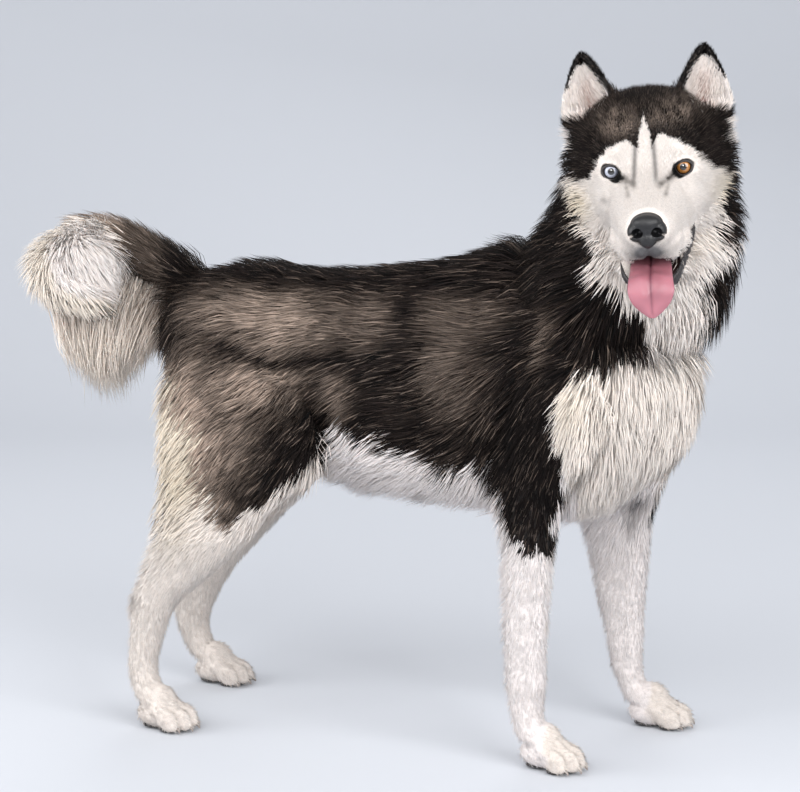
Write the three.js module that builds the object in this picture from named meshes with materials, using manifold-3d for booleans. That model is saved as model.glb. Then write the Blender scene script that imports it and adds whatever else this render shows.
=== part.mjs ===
// A Siberian husky, life size, standing square with its head turned to its right and its tail curled.
// Millimetres. X runs forward, Y to the dog's left and Z up; the four soles stand on Z = 0.
// Every solid reaches to the tips of the coat: short fur is part of its core, and the long fur of the
// cheeks, neck, chest, belly, breeches and tail grows from the cores as locks. Neighbours keep a gap.
import * as THREE from "three";
import { mergeVertices } from "three/addons/utils/BufferGeometryUtils.js";
import Module from "manifold-3d";

const wasm = await Module();
wasm.setup();

// Driving dimensions.
const GAP = 0.3; // kept between touching solids
const WITHERS = 575; // height of the coat over the shoulder blades
const CROUP = 538; // height of the coat over the hips
const BRISKET = 258; // underside of the chest between the elbows
const FRONT_STANCE = 203; // between the two front feet, centre to centre
const HIND_STANCE = 206;
const KNEE = 262; // where a thigh meets its shank
const HEAD_AT = [91, -80, 658]; // the point between the eyes
const HEAD_YAW = -77.3; // degrees to the dog's left of straight ahead
const HEAD_PITCH = 6.7; // nose down
const HEAD_ROLL = 4.1; // left eye higher than the right
const EYE = { ahead: -8, apart: 38, radius: 11.5 };
const NOSE_TIP = 99; // ahead of the point between the eyes
const JAW_DROP = 26; // how far the open lower lip hangs under the upper one
const EAR = { tall: 80, halfWidth: 36, wall: 5 };

// How far the tips of the long fur stand beyond the core.
const COAT = { belly: 15, chest: 12, neck: 18, breeches: 17, tail: 17, curl: 20, cheek: 9 };

const COLOURS = {
  black: 0x1d1a1a,
  grizzle: 0x4d423b,
  white: 0xe9e2d8,
  cream: 0xd9c9b4,
  leather: 0x17171a,
  tongue: 0xd0808a,
  amberEye: 0x8a4a12,
  blueEye: 0xb9c6dc,
};

// Frames. Each gives the direction along a stack of rings, the direction of "high" and the sideways one.
const X = new THREE.Vector3(1, 0, 0);
const Y = new THREE.Vector3(0, 1, 0);
const Z = new THREE.Vector3(0, 0, 1);
const ORIGIN = new THREE.Vector3();
const trunkFrame = { origin: ORIGIN, along: X, up: Z, side: Y };
const limbFrame = { origin: ORIGIN, along: Z, up: X, side: Y };

const radians = THREE.MathUtils.degToRad;

function headAxes() {
  const yaw = radians(HEAD_YAW);
  const pitch = radians(HEAD_PITCH);
  const roll = radians(HEAD_ROLL);
  const ahead = new THREE.Vector3(
    Math.cos(yaw) * Math.cos(pitch),
    Math.sin(yaw) * Math.cos(pitch),
    -Math.sin(pitch),
  );
  const level = new THREE.Vector3(-Math.sin(yaw), Math.cos(yaw), 0);
  const left = level
    .clone()
    .multiplyScalar(Math.cos(roll))
    .addScaledVector(ahead.clone().cross(level), Math.sin(roll));
  return { along: ahead, side: left, up: ahead.clone().cross(left) };
}
const headFrame = { origin: new THREE.Vector3(...HEAD_AT), ...headAxes() };

function place(frame, along, side, up) {
  return frame.origin
    .clone()
    .addScaledVector(frame.along, along)
    .addScaledVector(frame.side, side)
    .addScaledVector(frame.up, up);
}

// Solids.
function solidOf(geometry) {
  const bare = geometry.index ? geometry.clone() : geometry;
  bare.deleteAttribute("normal");
  bare.deleteAttribute("uv");
  const merged = mergeVertices(bare, 1e-4);
  const triVerts = new Uint32Array(merged.index.array);
  const mesh = (flip) => {
    if (flip)
      for (let i = 0; i < triVerts.length; i += 3)
        [triVerts[i + 1], triVerts[i + 2]] = [triVerts[i + 2], triVerts[i + 1]];
    return new wasm.Manifold(
      new wasm.Mesh({ numProp: 3, vertProperties: merged.attributes.position.array, triVerts }),
    );
  };
  const first = mesh(false);
  return first.volume() > 0 ? first : mesh(true);
}

function geometryOf(solid) {
  const mesh = solid.getMesh();
  const position = new Float32Array(mesh.numVert * 3);
  for (let i = 0; i < mesh.numVert; i += 1)
    position.set(mesh.vertProperties.subarray(i * mesh.numProp, i * mesh.numProp + 3), i * 3);
  const geometry = new THREE.BufferGeometry();
  geometry.setAttribute("position", new THREE.BufferAttribute(position, 3));
  geometry.setIndex(new THREE.BufferAttribute(new Uint32Array(mesh.triVerts), 1));
  geometry.computeVertexNormals();
  return geometry;
}

const join = (solids) => wasm.Manifold.union(solids);

function largest(solid) {
  return solid.decompose().reduce((best, piece) => (piece.volume() > best.volume() ? piece : best));
}

// A closed skin over rings of points, with one point added past each end.
function skin(rings, firstPoint, lastPoint) {
  const sides = rings[0].length;
  const points = [firstPoint, ...rings.flat(), lastPoint];
  const index = [];
  const at = (ring, side) => 1 + ring * sides + (side % sides);
  for (let side = 0; side < sides; side += 1) {
    index.push(0, at(0, side + 1), at(0, side));
    index.push(points.length - 1, at(rings.length - 1, side), at(rings.length - 1, side + 1));
    for (let ring = 0; ring + 1 < rings.length; ring += 1) {
      index.push(at(ring, side), at(ring, side + 1), at(ring + 1, side + 1));
      index.push(at(ring, side), at(ring + 1, side + 1), at(ring + 1, side));
    }
  }
  const geometry = new THREE.BufferGeometry().setFromPoints(points);
  geometry.setIndex(index);
  return solidOf(geometry);
}

// Smooth values between the rows of a table, at row number t.
function between(rows, place) {
  const last = rows.length - 1;
  const t = THREE.MathUtils.clamp(place, 0, last);
  const i = Math.min(Math.floor(t), last - 1);
  const s = t - i;
  const row = (k) => rows[THREE.MathUtils.clamp(k, 0, last)];
  return rows[i].map((b, n) => {
    const a = row(i - 1)[n];
    const c = row(i + 1)[n];
    const d = row(i + 2)[n];
    return b + 0.5 * s * (c - a + s * (2 * a - 5 * b + 4 * c - d + s * (3 * (b - c) + d - a)));
  });
}

// A point on a stack's skin. A row is [level, low, high, middle, half, widest]: where the flat ring
// lies along the stack, its lowest and highest reach, its middle and half width sideways, and the
// height at which it is widest.
function onStack(rows, frame, t, angle, grow = 0, square = 2.2) {
  const [level, low, high, middle, half, widest = (low + high) / 2] = between(rows, t);
  const shape = (v) => Math.sign(v) * Math.abs(v) ** (2 / square);
  const across = shape(Math.cos(angle)) * (half + grow);
  const rise = shape(Math.sin(angle));
  const reach = rise > 0 ? high - widest + grow : widest - low + grow;
  return place(frame, level, middle + across, widest + rise * reach);
}

function stack(rows, frame, { sides = 20, rings = 2, grow = 0, square = 2.2 } = {}) {
  const last = rows.length - 1;
  const made = [];
  for (let k = 0; k <= last * rings; k += 1)
    made.push(
      Array.from({ length: sides }, (_, side) =>
        onStack(rows, frame, k / rings, (2 * Math.PI * side) / sides, grow, square),
      ),
    );
  const middle = (row) => (row[5] ?? (row[1] + row[2]) / 2);
  const end = (row, next) => {
    const beyond = row[0] + Math.sign(row[0] - next[0]) * (0.12 * row[4] + grow);
    return place(frame, beyond, row[3], middle(row));
  };
  return skin(made, end(rows[0], rows[1]), end(rows[last], rows[last - 1]));
}

// A point on a strand's skin. A strand tapers along a bent path; a row is [x, y, z, half width, half
// thickness], and flat is the direction in which it is thin.
function onStrand(rows, flat, t, angle, grow = 0, frame = null) {
  const spot = (u) => {
    const [x, y, z] = between(rows, u);
    return frame ? place(frame, x, y, z) : new THREE.Vector3(x, y, z);
  };
  const [, , , wide, thin] = between(rows, t);
  const along = spot(t + 0.1).sub(spot(t - 0.1)).normalize();
  const side = along.clone().cross(flat).normalize();
  const up = side.clone().cross(along);
  return spot(t)
    .addScaledVector(side, Math.cos(angle) * (wide + grow))
    .addScaledVector(up, Math.sin(angle) * (thin + grow));
}

function strand(rows, flat, { sides = 12, rings = 1, grow = 0, frame = null } = {}) {
  const last = rows.length - 1;
  const point = (t, angle) => onStrand(rows, flat, t, angle, grow, frame);
  const made = [];
  for (let k = 0; k <= last * rings; k += 1)
    made.push(Array.from({ length: sides }, (_, n) => point(k / rings, (2 * Math.PI * n) / sides)));
  const end = (t, inward) => {
    const middle = (u) => point(u, 0).lerp(point(u, Math.PI), 0.5);
    const along = middle(t).sub(middle(inward)).normalize();
    return middle(t).addScaledVector(along, 0.5 * rows[t][4] + grow);
  };
  return skin(made, end(0, 0.1), end(last, last - 0.1));
}

// A ball stretched along a frame's axes, turned about its up axis and tipped about its side axis.
function ball(frame, [along, side, up], [long, wide, tall], options = {}) {
  const { turn = 0, tip = 0, around = 12, grow = 0 } = options;
  const sphere = new THREE.SphereGeometry(1, around, Math.round(around * 0.6));
  const basis = new THREE.Matrix4().makeBasis(frame.along, frame.side, frame.up);
  const matrix = new THREE.Matrix4()
    .makeTranslation(place(frame, along, side, up))
    .multiply(basis)
    .multiply(new THREE.Matrix4().makeRotationZ(radians(turn)))
    .multiply(new THREE.Matrix4().makeRotationY(radians(tip)))
    .scale(new THREE.Vector3(long + grow, wide + grow, tall + grow));
  return solidOf(sphere.applyMatrix4(matrix));
}

// Random numbers from a seed, so that every build grows the same coat.
function dice(seed) {
  let state = seed;
  return () => {
    state = (state * 1664525 + 1013904223) % 4294967296;
    return state / 4294967296;
  };
}

// One lock of hair: a flat blade of three sides, sunk at its root, that leaves the skin, bends from its
// first lie to its last and tapers to a point. A grown lock spreads further at its thin edges and point,
// so that it holds the plain one whole.
const LOCK_SHAPE = [
  { way: 0, wide: 0.8 },
  { way: 0.32, wide: 1 },
  { way: 0.68, wide: 0.72 },
];
function lock({ root, normal, lie, lastLie = lie, length, width, lift, sink = 9 }, grow) {
  const across = normal.clone().cross(lie).normalize();
  const at = (way) =>
    root
      .clone()
      .addScaledVector(lie, length * (way - way ** 2 / 2))
      .addScaledVector(lastLie, (length * way ** 2) / 2)
      .addScaledVector(normal, (sink + lift) * (1 - (1 - way) ** 2) - sink);
  const rings = LOCK_SHAPE.map(({ way, wide }) => {
    const half = width * wide + 4 * grow;
    return [
      at(way).addScaledVector(across, half).addScaledVector(normal, -grow),
      at(way).addScaledVector(normal, 0.36 * width * wide + grow),
      at(way).addScaledVector(across, -half).addScaledVector(normal, -grow),
    ];
  });
  const back = at(0).addScaledVector(lie, -2 - grow);
  const tipWay = at(1).sub(at(LOCK_SHAPE.at(-1).way)).normalize();
  return skin(rings, back, at(1).addScaledVector(tipWay, 4 * grow));
}

// Locks in staggered tiers over a stretch of skin. The skin is a function of t, along it, and of the
// angle round it; each lock lies along t and leans towards the bias.
function coat(skinAt, { t, tiers, angles, count, length, width, lift, seed, bias, sink }, grow) {
  const roll = dice(seed);
  const stray = (amount) => amount * (2 * roll() - 1);
  const locks = [];
  for (let tier = 0; tier < tiers; tier += 1)
    for (let n = 0; n < count; n += 1) {
      const step = (tier % 2 ? 0.25 : -0.25) + 0.5 + stray(0.14);
      const angle = angles[0] + ((angles[1] - angles[0]) * (n + step)) / count;
      const u = t[0] + ((t[1] - t[0]) * (tier + 0.5 + stray(0.16))) / tiers;
      const long = length * (1 + stray(0.16));
      const ahead = (v) => skinAt(v + 0.05, angle).sub(skinAt(v - 0.05, angle));
      const around = skinAt(u, angle + 0.05).sub(skinAt(u, angle - 0.05)).normalize();
      const normal = around.clone().cross(ahead(u)).normalize();
      const root = skinAt(u, angle);
      if (normal.dot(root.clone().sub(skinAt(u, angle + Math.PI))) < 0) normal.negate();
      const lean = (v) => {
        const way = ahead(v).normalize();
        if (bias) way.add(bias);
        return way.addScaledVector(around, stray(0.12));
      };
      const lie = lean(u);
      lie.addScaledVector(normal, -lie.dot(normal)).normalize();
      const lastLie = lean(u + (0.1 * long) / ahead(u).length()).normalize();
      const wide = width * (1 + stray(0.12));
      locks.push(lock({ root, normal, lie, lastLie, length: long, width: wide, lift, sink }, grow));
    }
  return locks;
}

const bothSides = [
  ["left", 1],
  ["right", -1],
];
const forms = {};

// Torso: [x, underside, topline, middle, half width, height of the widest level].
const torsoRows = [
  [-508, 424, 494, 0, 30, 460],
  [-494, 386, 516, 0, 60, 455],
  [-460, 350, 529, 0, 85, 445],
  [-420, 326, 537, 0, 96, 440],
  [-370, 304, CROUP + 2, 0, 99, 435],
  [-310, 290, CROUP, 0, 94, 430],
  [-250, 277, 542, 0, 98, 422],
  [-190, 270, 549, 0, 107, 415],
  [-130, 266, 560, 0, 113, 412],
  [-75, BRISKET, WITHERS - 2, 0, 114, 412],
  [-25, 254, 567, 0, 110, 412],
  [25, 264, 549, 0, 102, 412],
  [70, 296, 524, 0, 88, 410],
  [103, 322, 500, 0, 68, 405],
  [124, 348, 470, 0, 40, 402],
  [132, 374, 438, 0, 16, 402],
];
// The core stops short of the tips on the underside and the chest, where the long fur hangs.
const torsoCore = torsoRows.map(([x, under, top, middle, half, widest]) => [
  x - (x > 90 ? COAT.chest : 0),
  under + (x > -400 ? COAT.belly : 0),
  top,
  middle,
  half,
  widest,
]);
const torsoSkin = (t, angle) => onStack(torsoCore, trunkFrame, t, angle);
const backwards = new THREE.Vector3(-1, 0, -0.35);
forms.torso = {
  colour: COLOURS.grizzle,
  core: (grow) => stack(torsoCore, trunkFrame, { sides: 20, rings: 1, grow }),
  locks: (grow) => [
    ...coat(
      torsoSkin,
      {
        t: [4.2, 10.8],
        tiers: 6,
        angles: [-2.4, -0.74],
        count: 3,
        length: 76,
        width: 26,
        lift: COAT.belly + 2,
        bias: backwards.clone().multiplyScalar(3),
        seed: 11,
      },
      grow,
    ),
    ...coat(
      torsoSkin,
      {
        t: [11, 14.3],
        tiers: 3,
        angles: [-2.9, -0.24],
        count: 4,
        length: 64,
        width: 23,
        lift: COAT.chest - 2,
        bias: Z.clone().multiplyScalar(-3),
        seed: 12,
      },
      grow,
    ),
  ],
};

// Neck: [height, back, front, middle, half width], from the head down.
const neckRows = [
  [690, 12, 124, 0, 52],
  [662, -20, 160, 4, 84],
  [622, -42, 178, 7, 98],
  [580, -62, 180, 6, 103],
  [540, -84, 172, 2, 104],
  [500, -106, 160, 0, 102],
  [466, -110, 138, 0, 92],
];
const neckSkin = (t, angle) => onStack(neckRows, limbFrame, t, angle, -COAT.neck);
forms.neck = {
  colour: COLOURS.black,
  core: (grow) => stack(neckRows, limbFrame, { sides: 18, rings: 1, grow: grow - COAT.neck }),
  locks: (grow) =>
    coat(
      neckSkin,
      {
        t: [0.7, 6],
        tiers: 4,
        angles: [-Math.PI, Math.PI],
        count: 12,
        length: 96,
        width: 25,
        lift: COAT.neck - 3,
        bias: new THREE.Vector3(-0.5, 0, -1),
        seed: 21,
      },
      grow,
    ),
};

// Legs: [height, back, front, middle, half width], from the body down to the foot.
const frontRight = [
  [470, -78, 30, -66, 36],
  [415, -84, 58, -78, 38],
  [360, -86, 44, -86, 38],
  [320, -84, 20, -90, 36],
  [285, -76, 8, -94, 33],
  [250, -68, 2, -98, 31],
  [187, -64, -2, -103, 27],
  [130, -60, -5, -105, 24],
  [95, -58, -5, -105, 25],
  [70, -54, -8, -105, 22.5],
  [48, -49, -6, -106, 22.5],
  [28, -42, 4, -107, 24],
];
const frontLeft = [
  [470, -66, 60, 66, 40],
  [415, -68, 92, 76, 42],
  [360, -68, 97, 80, 42],
  [320, -60, 86, 84, 38],
  [285, -46, 74, 88, 35],
  [250, -34, 63, 91, 32],
  [205, -22, 58, 95, 28],
  [145, -10, 53, 97, 25],
  [105, 0, 52, 97, 23.5],
  [67, 8, 51, 97, 22],
  [45, 17, 57, 97, 22.5],
  [26, 26, 70, 97, 24],
];
const hindRight = [
  [470, -470, -350, -55, 42],
  [420, -488, -298, -66, 48],
  [365, -494, -280, -76, 49],
  [315, -494, -288, -86, 44],
  [265, -494, -336, -96, 38],
  [225, -498, -367, -104, 33],
  [186, -506, -409, -108, 28],
  [150, -520, -450, -111, 24],
  [118, -518, -467, -113, 21.5],
  [75, -521, -479, -115, 19.5],
  [48, -516, -473, -117, 21],
  [28, -505, -462, -118, 24],
];
const hindLeft = [
  [470, -472, -352, 55, 42],
  [420, -492, -308, 66, 48],
  [365, -502, -298, 74, 48],
  [315, -508, -316, 80, 42],
  [265, -514, -364, 84, 36],
  [225, -524, -402, 87, 31],
  [183, -543, -442, 88, 26],
  [148, -563, -473, 88, 23.5],
  [113, -566, -496, 88, 21],
  [75, -559, -510, 87, 19.5],
  [46, -548, -502, 87, 21],
  [28, -532, -488, 86, 24],
];
for (const [name, rows] of Object.entries({ front_leg_right: frontRight, front_leg_left: frontLeft }))
  forms[name] = {
    colour: COLOURS.white,
    core: (grow) => stack(rows, limbFrame, { sides: 12, rings: 1, grow }),
  };

// A hind leg is a thigh with breeches behind it, and a shank. The thigh's core stops short at the back.
for (const [side, rows, seed] of [
  ["right", hindRight, 71],
  ["left", hindLeft, 72],
]) {
  const thighRows = rows.map(([height, back, ...rest]) => [height, back + COAT.breeches, ...rest]);
  const whole = (shape, grow) => stack(shape, limbFrame, { sides: 12, rings: 1, grow });
  forms[`thigh_${side}`] = {
    colour: COLOURS.grizzle,
    core: (grow) => whole(thighRows.slice(0, 6), grow).trimByPlane([0, 0, 1], KNEE - grow),
    locks: (grow) =>
      coat(
        (t, angle) => onStack(thighRows, limbFrame, t, angle),
        {
          t: [0.7, 5],
          tiers: 5,
          angles: [-2.5, -0.65],
          count: 3,
          length: 78,
          width: 16,
          lift: COAT.breeches,
          bias: backwards.clone().multiplyScalar(0.4),
          seed,
        },
        grow,
      ),
  };
  forms[`shank_${side}`] = {
    colour: COLOURS.white,
    core: (grow) => whole(rows.slice(4), grow).trimByPlane([0, 0, -1], -KNEE - grow),
  };
}

// Feet: a knuckled pad with four toes and their claws, cut flat where it stands.
const TOES = [
  { side: -19, reach: 18, turn: -14 },
  { side: -7, reach: 29, turn: -4 },
  { side: 7, reach: 29, turn: 4 },
  { side: 19, reach: 18, turn: 14 },
];
const TOE = { long: 19, wide: 9.5, tall: 13.5 };
const CLAW = { long: 11, thick: 2.6 };
const SOLE_SINK = 1.5; // how far each pad would press into the floor

function claw(frame, toe, grow) {
  const tip = toe.reach + TOE.long;
  const root = place(frame, tip - 6, toe.side * 1.08, 10);
  const middle = place(frame, tip + 1, toe.side * 1.15, 8);
  const end = place(frame, tip + CLAW.long - 6, toe.side * 1.2, 3.4);
  const rows = [
    [...root, CLAW.thick, CLAW.thick],
    [...middle, CLAW.thick * 0.8, CLAW.thick],
    [...end, 0.5, 0.6],
  ];
  return strand(rows, frame.side, { sides: 5, grow });
}

function paw(x, y, heading, grow) {
  const turned = (v) => v.clone().applyAxisAngle(Z, radians(heading));
  const frame = { origin: new THREE.Vector3(x, y, 0), along: turned(X), side: turned(Y), up: Z };
  const pieces = [ball(frame, [-4, 0, 20], [33, 25, 21.5], { grow, around: 10 })];
  for (const toe of TOES) {
    const at = [toe.reach, toe.side, TOE.tall - SOLE_SINK];
    pieces.push(
      ball(frame, at, [TOE.long, TOE.wide, TOE.tall], { turn: toe.turn, grow, around: 7 }),
      claw(frame, toe, grow),
    );
  }
  return join(pieces).trimByPlane([0, 0, 1], -grow);
}
const paws = {
  front_paw_right: [-8, -FRONT_STANCE / 2 - 5, -8],
  front_paw_left: [62, FRONT_STANCE / 2 - 5, 6],
  hind_paw_right: [-476, -HIND_STANCE / 2 - 15, -4],
  hind_paw_left: [-500, HIND_STANCE / 2 - 17, 4],
};
for (const [name, [x, y, heading]] of Object.entries(paws))
  forms[name] = { colour: COLOURS.white, core: (grow) => paw(x, y, heading, grow) };

// Tail, raised from the croup and curled over to the right: [x, y, z, half width, half thickness] to
// the tips of its coat.
const tailRoot = [
  [-424, -4, 500, 34, 34],
  [-467, -5, 510, 36, 36],
  [-518, -8, 534, 36, 35],
  [-560, -14, 558, 33, 33],
  [-598, -22, 568, 35, 34],
];
const tailCurl = [
  [-598, -22, 568, 36, 36],
  [-628, -40, 560, 42, 42],
  [-648, -60, 540, 42, 42],
  [-632, -74, 520, 38, 38],
  [-602, -80, 511, 31, 31],
];
const tailSkin = (t, angle) => onStrand(tailRoot, Y, t, angle, -COAT.tail);
const curlSkin = (t, angle) => onStrand(tailCurl, Y, t, angle, -COAT.curl);
forms.tail_base = {
  colour: COLOURS.grizzle,
  core: (grow) => strand(tailRoot, Y, { sides: 10, grow: grow - COAT.tail }),
  locks: (grow) =>
    coat(
      tailSkin,
      {
        t: [0.9, 3.9],
        tiers: 3,
        angles: [0.7, 2 * Math.PI - 0.7],
        count: 4,
        length: 70,
        width: 14,
        lift: COAT.tail - 5,
        seed: 31,
      },
      grow,
    ),
};
forms.tail_tip = {
  colour: COLOURS.white,
  core: (grow) => strand(tailCurl, Y, { sides: 10, grow: grow - COAT.curl }),
  locks: (grow) =>
    coat(
      curlSkin,
      {
        t: [0, 4],
        tiers: 4,
        angles: [0.9, 2 * Math.PI - 0.9],
        count: 4,
        length: 64,
        width: 17,
        lift: COAT.curl - 5,
        seed: 41,
      },
      grow,
    ),
};

// The brush hangs below the tail as a curtain of long locks from a thin strip of root. A lock's row is
// [way along the strip, length, lean backwards].
const brushRoot = [
  [-500, -7, 500, 12, 12],
  [-540, -10, 520, 13, 14],
  [-580, -14, 534, 13, 14],
  [-622, -26, 528, 11, 12],
];
const BRUSH = { locks: 11, shortest: 66, longest: 160, fullestAt: 0.62, width: 14 };
forms.tail_brush = {
  colour: COLOURS.cream,
  core: (grow) => strand(brushRoot, Y, { sides: 8, grow }),
  locks: (grow) => {
    const roll = dice(51);
    return Array.from({ length: BRUSH.locks }, (_, n) => {
      const way = (n + 0.5) / BRUSH.locks;
      const [x, y, z] = between(brushRoot, way * (brushRoot.length - 1));
      const sideways = n % 2 ? 1 : -1;
      const full = 1 - Math.abs(way - BRUSH.fullestAt) / (way > BRUSH.fullestAt ? 0.6 : 0.7);
      return lock(
        {
          root: new THREE.Vector3(x, y + sideways * 5, z - 6),
          normal: new THREE.Vector3(0.1, sideways, 0).normalize(),
          lie: new THREE.Vector3(-0.6 + 0.5 * way + 0.16 * (roll() - 0.5), 0, -1).normalize(),
          lastLie: new THREE.Vector3(0.1 * way, 0, -1).normalize(),
          length: THREE.MathUtils.lerp(BRUSH.shortest, BRUSH.longest, full) * (0.94 + 0.12 * roll()),
          width: BRUSH.width,
          lift: 8,
          sink: 4,
        },
        grow,
      );
    });
  },
};

// Head: [ahead, underside, top, middle, half width, height of the widest level] from the eyes.
const headRows = [
  [-128, -5, 45, 0, 40, 20],
  [-112, -45, 66, 0, 72, 10],
  [-86, -70, 79, 0, 92, -5],
  [-60, -84, 82, 0, 99, -20],
  [-36, -90, 77, 0, 92, -32],
  [-18, -89, 64, 0, 78, -38],
  [-6, -86, 47, 0, 67, -42],
  [6, -83, 24, 0, 57, -45],
  [18, -81, 6, 0, 49, -47],
  [35, -79, -6, 0, 42, -49],
  [55, -78, -16, 0, 36, -51],
  [75, -76, -25, 0, 31, -52],
  [88, -73, -33, 0, 25, -53],
  [94, -67, -40, 0, 18, -54],
];
const mouthRows = [
  [12, -96, -70, 0, 26],
  [40, -98, -66, 0, 28],
  [66, -100, -64, 0, 23],
  [84, -100, -66, 0, 14],
];
const noseRows = [
  [78, -62, -34, 0, 15, -46],
  [86, -66, -29, 0, 19, -44],
  [94, -65, -30, 0, 19.5, -44],
  [NOSE_TIP, -59, -37, 0, 13, -46],
];
const LID = { radius: 14.4, opening: [16, 11.5, 7.6], turn: 12 };

function eyeball(sign, grow) {
  const centre = [EYE.ahead, sign * EYE.apart, 0];
  return ball(headFrame, centre, Array(3).fill(EYE.radius), { grow, around: 14 });
}
function lids(sign) {
  const centre = [EYE.ahead, sign * EYE.apart, 0];
  return ball(headFrame, centre, Array(3).fill(LID.radius), { around: 12 });
}
function lidOpening(sign) {
  const centre = [EYE.ahead + 14, sign * (EYE.apart + 1), 0];
  return ball(headFrame, centre, LID.opening, { around: 10, turn: sign * LID.turn });
}
// The cheeks' core is narrower than their coat.
const cheekless = headRows.map(([ahead, under, top, middle, half, widest]) => [
  ahead,
  under,
  top,
  middle,
  half - (ahead < -10 ? COAT.cheek : 0),
  widest,
]);
const cheekSkin = (t, angle) => onStack(cheekless, headFrame, t, angle);
forms.head = {
  colour: COLOURS.white,
  locks: (grow) =>
    [-0.75, Math.PI - 0.35].flatMap((start, side) =>
      coat(
        cheekSkin,
        {
          t: [2.4, 5.6],
          tiers: 3,
          angles: [start, start + 1.1],
          count: 3,
          length: 52,
          width: 16,
          lift: COAT.cheek - 4,
          bias: headFrame.along.clone().multiplyScalar(-3).addScaledVector(headFrame.up, -1.6),
          seed: 61 + side,
        },
        grow,
      ),
    ),
  core: (grow) => {
    const skull = stack(cheekless, headFrame, { sides: 20, rings: 1, grow });
    if (grow) return skull;
    const brows = bothSides.map(([, sign]) =>
      ball(headFrame, [-19, sign * 31, 24], [24, 27, 18], { tip: -20, around: 10 }),
    );
    const sockets = bothSides.map(([, sign]) =>
      ball(headFrame, [19, sign * 45, 0], [19, 22, 14], { turn: sign * 30, around: 10 }),
    );
    const shaped = join([skull, ...brows]).subtract(join(sockets));
    const withLids = join([shaped, ...bothSides.map(([, sign]) => lids(sign))]);
    const mouth = stack(mouthRows, headFrame, { sides: 12, rings: 1 });
    return withLids.subtract(join([mouth, ...bothSides.map(([, sign]) => lidOpening(sign))]));
  },
};
for (const [side, sign] of bothSides)
  forms[`eye_${side}`] = {
    colour: side === "left" ? COLOURS.amberEye : COLOURS.blueEye,
    core: (grow) => eyeball(sign, grow),
  };
forms.nose = {
  colour: COLOURS.leather,
  core: (grow) => {
    const leather = stack(noseRows, headFrame, { sides: 14, rings: 1, grow });
    if (grow) return leather;
    const nostrils = bothSides.map(([, sign]) =>
      ball(headFrame, [NOSE_TIP - 1, sign * 9.5, -47], [7, 5, 4], { turn: sign * 25, around: 10 }),
    );
    return leather.subtract(join(nostrils));
  },
};

// Lower jaw, hanging open, and the tongue over its lip.
const LIP = -76;
const jawRows = [
  [-40, -96, -52, 0, 46, -74],
  [-5, -108, -64, 0, 45, -84],
  [25, LIP - 44, LIP - 2, 0, 37, LIP - 18],
  [50, LIP - 48, LIP - JAW_DROP + 10, 0, 28, LIP - 30],
  [68, LIP - 50, LIP - JAW_DROP + 3, 0, 22, LIP - 34],
  [78, LIP - 46, LIP - JAW_DROP - 2, 0, 14, LIP - 36],
];
forms.jaw = {
  colour: COLOURS.white,
  core: (grow) => stack(jawRows, headFrame, { sides: 16, rings: 1, grow }),
};
const tonguePath = [
  [10, 0, LIP - 2, 18, 4],
  [42, 0, LIP - 12, 22, 4.5],
  [68, 0, LIP - 20, 23, 4.5],
  [82, 0, LIP - 24, 24, 4.5],
  [89, 0, LIP - 38, 25, 4],
  [88, 0, LIP - 53, 21, 3.5],
  [84, 0, LIP - 64, 9, 2.5],
];
forms.tongue = {
  colour: COLOURS.tongue,
  core: (grow) =>
    strand(tonguePath, headFrame.side.clone().cross(headFrame.along), {
      grow,
      frame: headFrame,
    }),
};

// Ears: a pointed cone open to the front. [height, back, front, middle, half width].
function earFrame(sign) {
  const lean = radians(sign * 6);
  const up = headFrame.up
    .clone()
    .multiplyScalar(Math.cos(lean))
    .addScaledVector(headFrame.side, Math.sin(lean));
  const outward = radians(sign * 20);
  const along = headFrame.along
    .clone()
    .multiplyScalar(Math.cos(outward))
    .addScaledVector(headFrame.side, Math.sin(outward));
  const side = up.clone().cross(along).normalize();
  return {
    origin: place(headFrame, -78, sign * 60, 44),
    along: up,
    up: side.clone().cross(up).normalize(),
    side,
  };
}
const earRows = [
  [-22, -20, 12, 0, EAR.halfWidth - 12],
  [-6, -20, 19, 0, EAR.halfWidth - 3],
  [12, -18, 18, 0, EAR.halfWidth],
  [32, -15, 13, 0, EAR.halfWidth - 6],
  [53, -10, 9, 0, EAR.halfWidth - 16],
  [70, -6, 6, 0, EAR.halfWidth - 26],
  [EAR.tall, -3, 3, 0, 3],
];
const cupRows = earRows.map(([height, back, front, middle, half]) => [
  height - (height > 60 ? 7 : 0),
  back + EAR.wall,
  front + 14,
  middle,
  Math.max(half - EAR.wall, 1),
]);
for (const [side, sign] of bothSides)
  forms[`ear_${side}`] = {
    colour: COLOURS.black,
    core: (grow) => {
      const frame = earFrame(sign);
      const cone = stack(earRows, frame, { sides: 14, rings: 1, grow });
      if (grow) return cone;
      return cone.subtract(stack(cupRows.slice(2), frame, { sides: 10, rings: 1 }));
    },
  };

// Each solid is cut clear of those before it in this order.
const ORDER = [
  "eye_left",
  "eye_right",
  "nose",
  "tongue",
  "head",
  "jaw",
  "ear_left",
  "ear_right",
  "front_paw_right",
  "front_paw_left",
  "hind_paw_right",
  "hind_paw_left",
  "torso",
  "front_leg_right",
  "front_leg_left",
  "thigh_right",
  "thigh_left",
  "shank_right",
  "shank_left",
  "neck",
  "tail_base",
  "tail_tip",
  "tail_brush",
];

const cores = {};
const grown = {};
for (const name of ORDER) {
  const before = Object.values(grown);
  const core = forms[name].core(0);
  cores[name] = before.length ? core.subtract(join(before)) : core;
  grown[name] = forms[name].core(GAP);
}

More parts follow.
